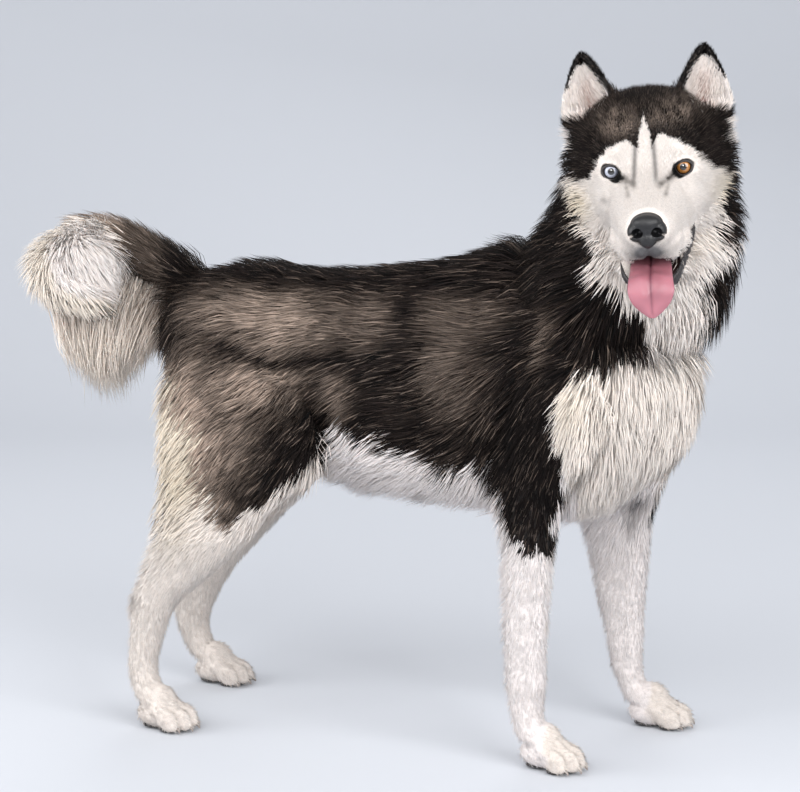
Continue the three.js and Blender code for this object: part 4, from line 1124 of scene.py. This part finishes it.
def hair_piece(name, spot, rings, draw, root, normal, way, length, half, height, colours, **bent):
    """Tufts as blades that leave the skin, bend along the body and end in a point.

    bent may hold curve and pull for each tuft, sag, and soft, which turns their normals to the skin's.
    """
    count = len(root)
    places, widths = BLADES[rings]
    way = unit(flat_on(normal, way), TINY)
    across = np.cross(normal, way)
    if rings == 1:
        colours = [0.96 * colours[1], colours[1], colours[2]]
    twist = draw.normal(0, 0.35, count)[:, None]
    flat = across * np.cos(twist) + normal * np.sin(twist)
    ridge = normal * np.cos(twist) - across * np.sin(twist)
    sink = np.minimum(DEEPEST_ROOT, 0.25 * length)[:, None]
    length, half, height = length[:, None], half[:, None], height[:, None]
    wavy = 0.035 * np.maximum(length - 25, 0)
    phase = 2.5 * ripple(root, 25, 77)[:, None] + draw.normal(0, 0.6, (count, 1))
    rows, shades = [], []
    for place in places + [1.0]:
        middle = root + way * length * place * (1 - 0.12 * place)
        middle = middle + bent.get("curve", 0) * length * 0.5 * place**2
        middle = middle + normal * ((sink + height) * (1 - (1 - place) ** 2) - sink)
        middle = middle - Z * bent.get("sag", 0) * length * place**2
        middle = middle + bent.get("pull", 0) * place**1.5
        middle = middle + across * wavy * np.sin(5.5 * place + phase)
        rows.append(middle)
        lower, mix = min(int(2 * place), 1), 2 * place
        shades.append(colours[lower] * (1 + lower - mix) + colours[lower + 1] * (mix - lower))
    vertices, tints, marks, facing = [], [], [], []
    for row, wide, shade_row, place in zip(rows[:-1], widths, shades[:-1], places):
        vertices += [row + flat * half * wide, row + ridge * half * wide * RIDGE, row - flat * half * wide]
        tints += [shade_row] * 3
        marks += [(-0.5, place - 0.5), (0, place - 0.5), (0.5, place - 0.5)]
        facing += [0.8 * normal + 0.3 * flat, 0.8 * normal + 0.2 * ridge, 0.8 * normal - 0.3 * flat]
    vertices.append(rows[-1])
    tints.append(shades[-1])
    marks.append((0, 0.5))
    facing.append(0.8 * normal + 0.3 * way)
    points = np.stack(vertices, 1).reshape(-1, 3)
    points[:, 2] = np.maximum(points[:, 2], 0.4)
    mesh, loops = closed_blades(name, points, count, rings)
    if bent.get("soft", True):
        mesh.normals_split_custom_set_from_vertices(unit(np.stack(facing, 1).reshape(-1, 3)).tolist())
    layer = mesh.uv_layers.new(name="OFBake")
    corner = (spot[:, None] + SPOT_SIZE * np.array(marks)[None]).reshape(-1, 2)[loops]
    layer.data.foreach_set("uv", plain_floats(np.clip(corner, 0.001, 0.999)))
    piece = bpy.data.objects.new(name, mesh)
    bpy.context.scene.collection.objects.link(piece)
    colour_points(piece, np.stack(tints, 1).reshape(-1, 3))
    return piece


paint = Paint("coat hair")
grain = paint.noise(260.0, 2.0)
FUR = paint.finish(
    Base_Color=paint.speckled(paint.kept_colour(), grain, [(0.3, (0.9, 0.89, 0.88)), (0.7, (1, 1, 1))]),
    Roughness=paint.node("ShaderNodeMapRange", None, {0: grain, 1: 0.3, 2: 0.7, 3: 0.52, 4: 0.68}),
    Specular_IOR_Level=0.03,
    Subsurface_Weight=0.35,
    Subsurface_Radius=(0.004, 0.0034, 0.003),
    Normal=paint.bump(paint.noise(1400.0, 2.0), 0.35, 0.0003),
)
# Over the hips the hair stands up in a low hump, at this x and z.
HUMP = (-368, 532)
HUMP_RISE = 9
corners = points[triangles]
area = np.linalg.norm(np.cross(corners[:, 1] - corners[:, 0], corners[:, 2] - corners[:, 0]), axis=1) / 2
middles = corners.mean(1)
region_index = region_of(middles)
_, face_length, _ = groom(middles)
ahead, left, up = head_places(middles)
face_normal = normals[triangles].mean(1)
is_head = region_index == REGION_NAMES.index("head")
is_ear = region_index >= REGION_NAMES.index("ear_right")


BARE_LID = 2.0


def lid_gap(ahead, left, up, grow):
    """Below 1 over an eye's opening."""
    best = np.full(len(ahead), 9.0)
    for sign in (-1, 1):
        u, v = turned(left - sign * (EYE["apart"] + 0.6), up - 0.5, sign)
        best = np.minimum(best, np.hypot(u / (9.2 + grow), v / (6.9 + grow)))
    return np.where(ahead > -20, best, 9.0)


# Nothing grows in the eyes' openings, on the nose, inside the mouth and on the soles.
bare = lid_gap(ahead, left, up, BARE_LID) < 1
bare |= is_head & (ahead > 78) & (np.hypot(left / 20.5, (up + 47) / 19) < 1)
bare |= is_head & (mouth_depth(middles) > 0.4)
bare |= (middles[:, 2] < 5) & (face_normal[:, 2] < -0.4)
inner_ear = np.zeros(len(middles), bool)
for axes in EARS.values():
    away = middles - axes[0]
    on_this_ear = is_ear & (np.linalg.norm(away, axis=1) < 110)
    inner_ear |= on_this_ear & ((face_normal @ axes[3]) > 0.15) & ((away @ axes[1]) > 2)


TUFTS_IN_CLUMP = 22
# How far out from the skin the coat's surface is looked for, in metres.
DEEPEST_COAT = 0.06


def pick(faces, count, draw):
    """Faces drawn at random, each as often as its area says."""
    share = np.cumsum(area[faces]) / area[faces].sum()
    return faces[np.searchsorted(share, draw.random(count)).clip(0, len(faces) - 1)]


def depth_over(root, normal):
    """How far out along its normal the coat's surface lies over each root."""
    depth = np.full(len(root), 3.0)
    for k, (place, out) in enumerate(zip(metres(root), normal)):
        hit = outer_bvh.ray_cast(Vector(place), Vector(out), DEEPEST_COAT)
        if hit[0] is not None:
            depth[k] = 1000 * hit[3]
    return depth


def scatter(name, chosen, count, rings, seed, lift=1.0, clump=0.0, sag=0.0, wide=1.0, swirl=0.14):
    """Grows one piece of coat on the chosen faces of the skin."""
    draw = np.random.default_rng(seed)
    picked = pick(np.flatnonzero(chosen & ~bare), count, draw)
    a, b = draw.random((2, count, 1))
    a, b = np.where(a + b > 1, 1 - a, a), np.where(a + b > 1, 1 - b, b)
    tri, tri_normal = corners[picked], normals[triangles[picked]]
    root, normal = (v[:, 0] + a * (v[:, 1] - v[:, 0]) + b * (v[:, 2] - v[:, 0]) for v in (tri, tri_normal))
    normal = unit(normal, TINY)
    way, length, half = groom(root)
    way = unit(way, TINY)
    curve = unit(groom(root + way * length[:, None] * 0.55)[0], TINY) - way
    curve -= np.maximum((curve * normal).sum(1), 0)[:, None] * normal
    depth = np.minimum(depth_over(root, normal), 0.55 * length)
    waves = np.stack([ripple(root, 45, seed + k) for k in range(3)], -1)
    way = way + swirl * waves + 0.12 * draw.normal(size=(count, 3))
    length = length * draw.uniform(0.78, 1.18, count)
    raised = HUMP_RISE * blob(root[:, 0], root[:, 2], HUMP, (30, 30))
    height = (depth * lift + raised) * draw.uniform(0.5, 1.2, count)
    streak = 0.6 * ripple(root, 12, seed + 7) + 0.4 * ripple(root, 5, seed + 8)
    pull = 0
    if clump:
        clumps = count // TUFTS_IN_CLUMP
        tree = KDTree(clumps)
        tips = root + unit(flat_on(normal, way), TINY) * length[:, None] * 0.88 + normal * height[:, None]
        for k in range(clumps):
            tree.insert(root[k], k)
        tree.balance()
        heads = np.array([tree.find(spot)[1] for spot in root])
        pull = (tips[heads] - tips) * clump
        too_far = np.linalg.norm(pull, axis=1) / (0.5 * length)
        pull /= np.maximum(too_far, 1)[:, None]
        streak = 0.5 * streak + 0.8 * (draw.random(count)[heads] - 0.5) * 2
    shown = root + flat_on(normal, way) * length[:, None] * 0.6 + normal * height[:, None] * 0.5
    colours = coat_colours(shown, normal, draw, streak)
    names = region_index[picked]
    spot = np.empty((count, 2))
    for index in np.unique(names):
        spot[names == index] = unwrap(root[names == index], REGION_NAMES[index])
    half = half * wide * draw.uniform(0.75, 1.2, count)
    tufts = dict(root=root, normal=normal, way=way, length=length, half=half, height=height, colours=colours)
    piece = hair_piece(name, spot, rings, draw, **tufts, sag=sag, pull=pull, curve=curve)
    piece.data.materials.append(FUR)
    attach(piece, "root")
    return piece


def within(*names):
    """The skin's faces in these regions."""
    return np.isin(region_index, [REGION_NAMES.index(name) for name in names])


torso_faces = within("torso")
under = torso_faces & ((face_normal[:, 2] < -0.45) | (middles[:, 0] > 55))
back = torso_faces & ~under
right_side = middles[:, 1] < 0
hind = within("hind_right", "hind_left")
hind_upper = hind & (middles[:, 2] > 235)
short_face = is_head & (face_length < 11.5)
# Each piece of the coat: its name and slot, the faces it grows on, how many tufts, and rings in each.
COATS = [
    ("coat_face", "coat_white", short_face, 42000, 1, dict(lift=0.6)),
    ("coat_head", "coat_black", is_head & ~short_face, 46000, 1, dict(clump=0.12, wide=0.48, lift=1.2)),
    ("coat_neck", "coat_black", within("neck"), 18500, 2, dict(clump=0.25, sag=0.06, wide=0.52, lift=1.15)),
    ("coat_back_right", "coat_grizzle", back & right_side, 14500, 2, dict(clump=0.25, wide=0.62, lift=1.2)),
    ("coat_back_left", "coat_grizzle", back & ~right_side, 10000, 2, dict(clump=0.25, wide=0.75)),
    ("coat_underside", "coat_white", under, 16000, 2, dict(clump=0.3, sag=0.12, wide=0.46, swirl=0.36)),
    ("coat_thighs", "coat_grizzle", hind_upper, 12500, 2, dict(clump=0.2, wide=0.68)),
    ("coat_forelegs", "coat_white", within("fore_right", "fore_left"), 23000, 1, {}),
    ("coat_hind_feet", "coat_white", hind & ~hind_upper, 18000, 1, {}),
    ("coat_ears", "coat_black", is_ear & ~inner_ear, 8000, 1, {}),
]
for seed, (name, slot, chosen, count, rings, lie) in enumerate(COATS):
    piece = scatter(name, chosen, count, rings, 100 + seed, **lie)

# The tail's coat: long hair all round the curled tail, with a curtain of still longer cream hair below
# it that hangs from its underside.
tail_piece = scatter("coat_tail", within("tail"), 11000, 2, 150, clump=0.2, wide=0.52, lift=0.85, swirl=0.05)
BRUSH = [[-500, -7, 498], [-540, -10, 508], [-580, -16, 514], [-622, -26, 510], [-650, -40, 520]]
BRUSH_LOCKS = 90
BRUSH_TIP = (-588, 352)
draw = np.random.default_rng(160)
count = 4200
way_along = draw.random(count)
root = between(BRUSH, way_along * (len(BRUSH) - 1)) + draw.normal(0, 1, (count, 3)) * [6, 7, 11]
aim_x = BRUSH_TIP[0] + 0.46 * (root[:, 0] + 578) + draw.normal(0, 6, count)
aim_z = BRUSH_TIP[1] + 1.5 * np.abs(aim_x - BRUSH_TIP[0]) + 34 * draw.random(count) ** 2
aim_z += 6 * ripple(root, 14, 9)
to_aim = np.stack([aim_x, root[:, 1] * 0.6 - 8, aim_z], -1) - root
length = np.linalg.norm(to_aim, axis=1) * draw.uniform(0.75, 1.12, count)
side_way = np.where(draw.random(count) < 0.62, -1.0, 1.0)
normal = unit(np.stack([0.1 * np.ones(count), side_way, 0 * side_way], -1))
way = unit(to_aim) + np.array([-0.16, 0, 0.04]) + 0.05 * draw.normal(size=(count, 3))
curve = np.array([0.3, 0, -0.08]) * np.ones((count, 1))
lock = np.empty(count, int)
lock[np.argsort(way_along)] = np.arange(count) * BRUSH_LOCKS // count
first_of = np.array([np.flatnonzero(lock == k)[0] for k in range(BRUSH_LOCKS)])
tips = root + way * length[:, None] * 0.88
pull = (tips[first_of[lock]] - tips) * 0.3
brown = ease(root[:, 0] + 10 * draw.normal(size=count), -560, -505)[:, None]
tone = draw.uniform(0.9, 1.06, count)[:, None]
brush_colour = CREAM * 0.5 + WHITE * 0.55
colours = np.stack([
    (brush_colour * 0.85 * (1 - brown) + BROWN * 1.2 * brown) * tone,
    (brush_colour * 0.92 * (1 - 0.7 * brown) + TAN * 0.7 * brown) * tone,
    brush_colour * 1.04 * tone,
]).clip(0, 0.92)
spot = 0.03 + 0.94 * np.stack([way_along, 0.5 + 0.4 * side_way * draw.random(count)], -1)
half, height = draw.uniform(0.45, 0.85, count), draw.uniform(2, 22, count)
tufts = dict(root=root, normal=normal, way=way, length=length, half=half, height=height, colours=colours)
brush = hair_piece("tail_brush_hair", spot, 3, draw, **tufts, pull=pull, curve=curve, soft=False)
brush.data.materials.append(FUR)
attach(brush, "root")
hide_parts("tail_brush")

# The ears' inner hair: long white hair that grows from the front edges and the floor of each cup and
# fans out over the hollow.
# By height up the ear: how far the hair reaches to either side, and its length.
CUP_EDGE = [(0, 24), (30, 19), (60, 8), (75, 2)]
CUP_HAIR = [(0, 19), (20, 16), (60, 8), (80, 4)]
for seed, (sign, side_name) in enumerate(((-1, "right"), (1, "left"))):
    axes = EARS[sign]
    draw = np.random.default_rng(170 + seed)
    count = 3000
    picked = pick(np.flatnonzero(inner_ear & within("ear_" + side_name)), count, draw)
    root = middles[picked] + draw.normal(0, 0.5, (count, 3))
    normal = unit(face_normal[picked])
    away = root - axes[0]
    tall, wide = away @ axes[1], away @ axes[2]
    inner_edge = ease(-sign * wide, -8, 20)
    way = axes[1] * 1.0 + axes[2] * (sign * (0.1 + 0.5 * inner_edge))[:, None] + axes[3] * 0.15
    way = way + 0.18 * draw.normal(size=(count, 3))
    near_edge = ease(np.abs(wide) - table_at(tall, CUP_EDGE), -4, 6)
    length = table_at(tall, CUP_HAIR) * draw.uniform(0.7, 1.25, count) * (1 - 0.45 * near_edge)
    height = length * draw.uniform(0.12, 0.4, count) * (1 - 0.5 * near_edge)
    hollow = cup_pink_and_shade(tall, wide)[:, None] * draw.uniform(0.3, 1, (count, 1))
    rim = (ear_rim(tall + 0.35 * length, wide * 1.04, sign) > draw.random(count))[:, None]
    # The hair over the hollow is tinted pink and darkened: painted shade.
    base = (0.75 * WHITE + 0.28 * CREAM) * (1 - 0.85 * hollow) + SHADED_PINK * 0.85 * hollow
    base = base * (1 - rim) + BLACK * rim
    colours = np.stack([0.85 * base, 0.97 * base, base])
    half = draw.uniform(0.28, 0.5, count)
    tufts = dict(root=root, normal=normal, way=way, length=length, half=half, height=height, colours=colours)
    piece = hair_piece("ear_hair_" + side_name, unwrap(root, "ear_" + side_name), 2, draw, **tufts)
    piece.data.materials.append(FUR)
    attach(piece, "root")

# The eyes: a wet clear bulge over the iris, one pale blue with a dark ring and one amber, each set
# behind black lid rims. The iris and pupil are painted on the ball's front.
EYE_WHITE = np.array([0.25, 0.2, 0.18])
for sign, side_name, slot, iris, edge in (
    (-1, "right", "eye_blue", (0.42, 0.44, 0.52), (0.02, 0.022, 0.035)),
    (1, "left", "eye_amber", (0.36, 0.15, 0.035), (0.04, 0.017, 0.008)),
):
    centre = [EYE["ahead"], EYE["apart"] * sign, 0]
    gaze = AHEAD * math.cos(math.radians(4)) + CROWN * math.sin(math.radians(6))
    gaze /= np.linalg.norm(gaze)
    eye = ball(centre, [EYE["radius"]] * 3, segments=64)
    eye.name = eye.data.name = "eyeball_" + side_name
    spots, _, _ = mesh_arrays(eye)
    out = (spots - head_point(*centre)) / EYE["radius"]
    facing = out @ gaze
    bulge = 1.6 * ease(facing, 0.74, 0.95)
    eye.data.vertices.foreach_set("co", plain_floats(metres(spots + out * bulge[:, None])))
    modify(eye, "SUBSURF", levels=1, render_levels=1)
    eye.data.shade_smooth()
    spots, _, _ = mesh_arrays(eye)
    out = unit(spots - head_point(*centre))
    angle = np.degrees(np.arccos(np.clip(out @ gaze, -1, 1)))
    around = np.arctan2(out @ np.cross(gaze, LEFT), out @ LEFT)
    spoke = 0.5 + 0.5 * np.sin(around * 23) * np.cos(around * 9)
    iris, edge = np.array(iris), np.array(edge)
    glow = iris * (0.75 + 0.4 * spoke * ease(angle, 10, 30))[:, None]
    # From the middle of the pupil outwards, in degrees: pupil, iris, its dark ring, the white.
    ring = ease(angle, 32, 38)[:, None]
    colour = glow * (1 - ring) + edge * ring
    outer_ring = ease(angle, 42, 46)[:, None]
    colour = colour * (1 - outer_ring) + EYE_WHITE * outer_ring
    pupil = ease(angle, 15, 17.5)[:, None]
    colour_points(eye, BLACK * 0.3 * (1 - pupil) + colour * pupil)
    paint = Paint("wet eye " + side_name)
    eye.data.materials.append(
        paint.finish(
            Base_Color=paint.kept_colour(),
            Roughness=0.12,
            Specular_IOR_Level=0.6,
            Coat_Weight=1.0,
            Coat_Roughness=0.03,
        )
    )
    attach(eye, "root")
    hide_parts("eye_" + side_name)

# Lid rims: the bare black edge of each pair of lids, drawn out to a point at the inner corner. Each is
# one closed ring of wet skin that lies on the eyeball and in the lids' opening.
RIM_RADIUS = 13.4
rims = []
for sign in (-1, 1):
    centre = np.array([EYE["ahead"], EYE["apart"] * sign, 0.0])
    angle = np.linspace(0, 2 * math.pi, 65)[:-1]
    inner = np.cos(angle) < 0
    wide = 9.6 * np.cos(angle) * np.where(inner, 1.2, 1.0)
    tall = 7.4 * np.sin(angle) * (1 - np.where(inner, 0.45, 0.15) * np.cos(angle) ** 4)
    across, rise = turned(wide, tall, -1)
    across, rise = sign * (across + 0.5), rise - 0.1
    front = np.sqrt(np.maximum(RIM_RADIUS**2 - across**2 - rise**2, 4))
    spots = in_frame(*HEAD_AXES, np.stack([front, across, rise], -1) + centre)
    out = unit(spots - head_point(*centre))
    along = unit(np.roll(spots, -1, 0) - np.roll(spots, 1, 0))
    flat = np.cross(out, along)
    around = np.linspace(0, 2 * math.pi, 11)[:-1, None]
    rings = spots[:, None] + flat[:, None] * (1.25 * np.cos(around)) + out[:, None] * np.sin(around)
    count, sides = rings.shape[:2]
    faces = []
    for ring in range(count):
        here, there = ring * sides, (ring + 1) % count * sides
        for k in range(sides):
            further = (k + 1) % sides
            faces.append((here + k, here + further, there + further, there + k))
    rim = new_piece("rim", rings.reshape(-1, 3), faces)
    outwards(rim)
    rims.append(rim)
rims = join("lid_rims", rims)
rims.data.shade_smooth()
paint = Paint("wet black skin")
pebble = paint.noise(1500.0)
WET_BLACK = paint.finish(
    Base_Color=paint.blend(pebble, (0.008, 0.007, 0.008, 1), (0.03, 0.025, 0.026, 1)),
    Roughness=paint.ranged(pebble, 0.28, 0.5),
    Normal=paint.bump(pebble, 0.3, 0.0004),
)
rims.data.materials.append(WET_BLACK)
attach(rims, "root")

# The nose: moist black leather, pebbled, with comma-shaped nostrils and a groove down its middle. It is
# five rounded pads fused into one, with the nostrils sunk into it.
nose = fused(
    "nose_leather",
    [
        ball([83, 0, -45], [16, 19, 14]),
        ball([90, 0, -41], [10.5, 15, 9]),
        ball([88, 0, -57], [10, 10, 11.5]),
        ball([86, 12, -50], [12, 9, 11]),
        ball([86, -12, -50], [12, 9, 11]),
    ],
    0.8,
)
modify(nose, "SMOOTH", factor=0.5, iterations=6)
nostrils = []
for sign in (-1, 1):
    nostrils.append(ball([97, 10.3 * sign, -50.5], [12, 5.6, 5.2], turn=16 * sign))
    nostrils.append(ball([94, 16 * sign, -53], [8, 5.5, 1.9], turn=34 * sign, tilt=-22 * sign))
nostrils.append(ball([100, 0, -64], [4, 0.8, 12]))
combine(nose, nostrils, "DIFFERENCE")
modify(nose, "REMESH", mode="VOXEL", voxel_size=0.0007, use_smooth_shade=True)
modify(nose, "SMOOTH", factor=0.4, iterations=2)
paint = Paint("nose leather")
tone = paint.noise(60.0)
nose.data.materials.append(
    paint.finish(
        Base_Color=paint.blend(tone, (0.003, 0.003, 0.0035, 1), (0.014, 0.0135, 0.015, 1)),
        Roughness=paint.ranged(tone, 0.28, 0.48),
        Normal=paint.bump(1 - paint.cells(750.0), 0.55, 0.0005),
    )
)
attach(nose, "root")
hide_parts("nose")

# The lips: black wet edges of the mouth, thin above, broad and notched on the lower jaw's sides. Each
# is a flattened roll of skin laid along its edge.
lips = []
LEFT_CORNER = [[8, 47, -58], [20, 43, -66], [36, 37, -74], [52, 32, -79], [64, 27, -81]]
LOWER_LEFT = [
    [9, 47, -62], [22, 41, -78], [40, 33, -95], [56, 28, -104], [68, 22, -107], [77, 8, -108], [78, 0, -108],
]
LOWER_RIGHT = [[40, -32, -90], [54, -29, -101], [66, -22, -107], [76, -9, -108], [78, 0, -108]]
for line, tall, thick, notch in (
    (LEFT_CORNER, 1.3, 1.2, 0),
    (LOWER_LEFT, 4.8, 1.8, 0.28),
    (LOWER_RIGHT, 3.6, 1.6, 0.2),
):
    t = np.linspace(0, len(line) - 1, 150)
    spots = in_frame(*HEAD_AXES, between(line, t))
    along = unit(np.gradient(spots, axis=0))
    side_out = unit(np.cross(along, CROWN))
    rise = np.cross(side_out, along)
    end = np.minimum(1, np.minimum(t, len(line) - 1 - t) * 1.2 + 0.15)
    size = tall * end * (1 + notch * np.sin(t * 21) + 0.5 * notch * np.sin(t * 47))
    around = np.linspace(0, 2 * math.pi, 15)[:-1]
    rings = spots[:, None] + rise[:, None] * (size[:, None] * np.sin(around))[..., None]
    rings = rings + side_out[:, None] * (thick * end[:, None] * np.cos(around))[..., None]
    lips.append(skinned("lip", rings))
lips = join("lips", lips)
lips.data.shade_smooth()
lips.data.materials.append(WET_BLACK)
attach(lips, "root")

# The tongue: wet pink flesh that comes out over the lower lip and hangs, cupped, with a groove down its
# middle painted dark as shade, and painted shade over its part inside the mouth. It grows from the floor of
# the mouth.
TONGUE = [
    [10, 0, -84, 17, 4], [42, 0, -93, 21, 4.5], [68, 0, -100, 22.5, 4.5], [82, 0, -104, 23.5, 4.5],
    [89, 0, -114, 24, 4], [88.5, 0, -125, 20, 3.5], [86.5, 0, -135, 11.5, 3], [85, 0, -141.5, 3.5, 2],
]
path = [[*head_point(a, s, u), thick, wide] for a, s, u, wide, thick in TONGUE]
tongue = skinned("tongue_flesh", tube_rings(path, LEFT, sides=40, steps=8))
modify(tongue, "SUBSURF", levels=1, render_levels=1)
spots, spot_normals, _ = mesh_arrays(tongue)
a, s, u = head_places(spots)
top_side = ease(spot_normals @ (AHEAD * 0.6 + CROWN * 0.8), 0.1, 0.6)
groove = np.exp(-((s / 1.6) ** 2)) * top_side
swell = 1.1 * np.exp(-(((np.abs(s) - 9) / 6) ** 2)) + 0.5 * ripple(spots, 9, 3)
dip = -1.7 * groove + swell * top_side
tongue.data.vertices.foreach_set("co", plain_floats(metres(spots + spot_normals * dip[:, None])))
tongue.data.shade_smooth()
TONGUE_PINK = np.array([0.35, 0.13, 0.16])
# Dark red painted into the groove: painted shade of the crease.
GROOVE_SHADE = np.array([0.12, 0.03, 0.05])
groove = 0.72 * groove[:, None]
flesh = TONGUE_PINK * (1 + 0.12 * ripple(spots, 16, 4))[:, None]
flesh = flesh * (1 - groove) + GROOVE_SHADE * groove
# Painted shade: the tongue darkens towards the back, inside the mouth.
deep = ease(60 - a, 0, 30)[:, None]
colour_points(tongue, np.clip(flesh * (1 - 0.75 * deep), 0.01, 0.9))
paint = Paint("tongue flesh")
tongue.data.materials.append(
    paint.finish(
        Base_Color=paint.kept_colour(),
        Roughness=paint.ranged(paint.noise(90.0), 0.28, 0.5),
        Normal=paint.bump(paint.cells(1100.0), 0.25, 0.0003),
        Subsurface_Weight=0.15,
        Subsurface_Radius=(0.01, 0.004, 0.003),
    )
)
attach(tongue, "root")
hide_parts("tongue")

# Claws and pads: blunt horn claws curving out of each toe, and leathery black pads under the feet, one
# to each toe and a broad one behind them.
# A claw's rows: [way out from the toe's tip, share of the toe's place to the side, height, half sizes].
CLAW = [
    [-7, 1.1, 9.0, 2.0, 2.6], [-1, 1.13, 7.5, 1.9, 2.3], [2, 1.15, 4.5, 1.3, 1.5], [3, 1.16, 2.2, 0.6, 0.7],
]
TOE_LENGTH = 17
claws, pads = [], []
for place in PAWS.values():
    axes = foot_axes(*place)
    for side, reach, _ in TOES:
        rows = []
        for out, spread, high_up, wide, thick in CLAW:
            rows.append([*in_frame(*axes, [reach + TOE_LENGTH + out, side * spread, high_up]), wide, thick])
        claws.append(skinned("claw", tube_rings(rows, axes[2], sides=12, steps=4)))
        pads.append(ball([reach, side, 3.2], [8, 5.5, 3.1], axes, segments=20))
    pads.append(ball([-8, 0, 3.2], [14, 14, 3.1], axes, segments=28))
claws = join("claws", claws)
claws.data.shade_smooth()
paint = Paint("claw horn")
tone = paint.noise(240.0)
claws.data.materials.append(
    paint.finish(
        Base_Color=paint.blend(tone, (0.16, 0.13, 0.115, 1), (0.36, 0.31, 0.28, 1)),
        Roughness=0.38,
        Normal=paint.bump(tone, 0.2, 0.0003),
    )
)
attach(claws, "root")
pads = join("foot_pads", pads)
pads.data.shade_smooth()
pads.data.materials.append(WET_BLACK)
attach(pads, "root")

# The photographer's floor and light: a plain pale sweep and large soft lamps. The camera stands where
# the photograph was taken.
CAMERA_AT = [685.0, -2358.0, 745.0]
heading, down = math.radians(21), math.radians(8)
away = np.array([-math.sin(heading), math.cos(heading), 0.0])
sideways = np.cross(away, Z)
BEND_AT, BEND, HALF_WIDTH = 2200, 1500, 6000
profile = [(-5000, 0), (BEND_AT, 0)]
for turn in np.linspace(0.1, math.pi / 2, 16):
    profile.append((BEND_AT + BEND * math.sin(turn), BEND - BEND * math.cos(turn)))
profile.append((BEND_AT + BEND, 5000))
sweep, strips = [], []
for k, (far, high_up) in enumerate(profile):
    sweep += [away * far + Z * high_up + sideways * wide for wide in (-HALF_WIDTH, HALF_WIDTH)]
    strips.append((2 * k, 2 * k + 1, 2 * k + 3, 2 * k + 2))
floor = new_piece("floor", np.array(sweep) - SHIFT, strips[:-1])
floor.data.shade_smooth()
paint = Paint("pale floor")
floor.data.materials.append(paint.finish(Base_Color=(0.56, 0.58, 0.62, 1), Roughness=0.8))
world = bpy.data.worlds.new("studio")
bpy.context.scene.world = world
world.use_nodes = True
background = world.node_tree.nodes["Background"].inputs
background["Color"].default_value = (0.96, 0.97, 1.0, 1)
background["Strength"].default_value = 0.63


def lamp(name, place, aim, size, power):
    """A square soft lamp that points at its aim, in metres and watts."""
    light = bpy.data.lights.new(name, "AREA")
    light.shape, light.size, light.energy = "SQUARE", size, power
    holder = bpy.data.objects.new(name, light)
    holder.location = place
    holder.rotation_euler = (Vector(aim) - Vector(place)).to_track_quat("-Z", "Y").to_euler()
    bpy.context.scene.collection.objects.link(holder)


lamp("key", (-0.5, -2.6, 2.2), (0, 0, 0.4), 2.6, 48)
lamp("fill", (2.4, -1.6, 1.5), (0.1, 0, 0.4), 2.0, 78)
lamp("left fill", (-2.5, -1.5, 1.2), (-0.2, 0, 0.4), 2.0, 56)
lamp("front", (0.85, -2.9, 1.2), (0.1, 0, 0.45), 0.5, 15)
lamp("back", (-0.4, 2.4, 2.2), (0, 0, 0.4), 1.8, 22)
view_way = Vector(away * math.cos(down) - Z * math.sin(down))
camera_data = bpy.data.cameras.new("camera")
camera_data.lens, camera_data.sensor_width = 99, 36
camera = bpy.data.objects.new("camera", camera_data)
camera.location = metres(CAMERA_AT)
camera.rotation_euler = view_way.to_track_quat("-Z", "Y").to_euler()
bpy.context.scene.collection.objects.link(camera)
bpy.context.scene.camera = camera
bpy.context.scene.view_settings.view_transform = "Standard"
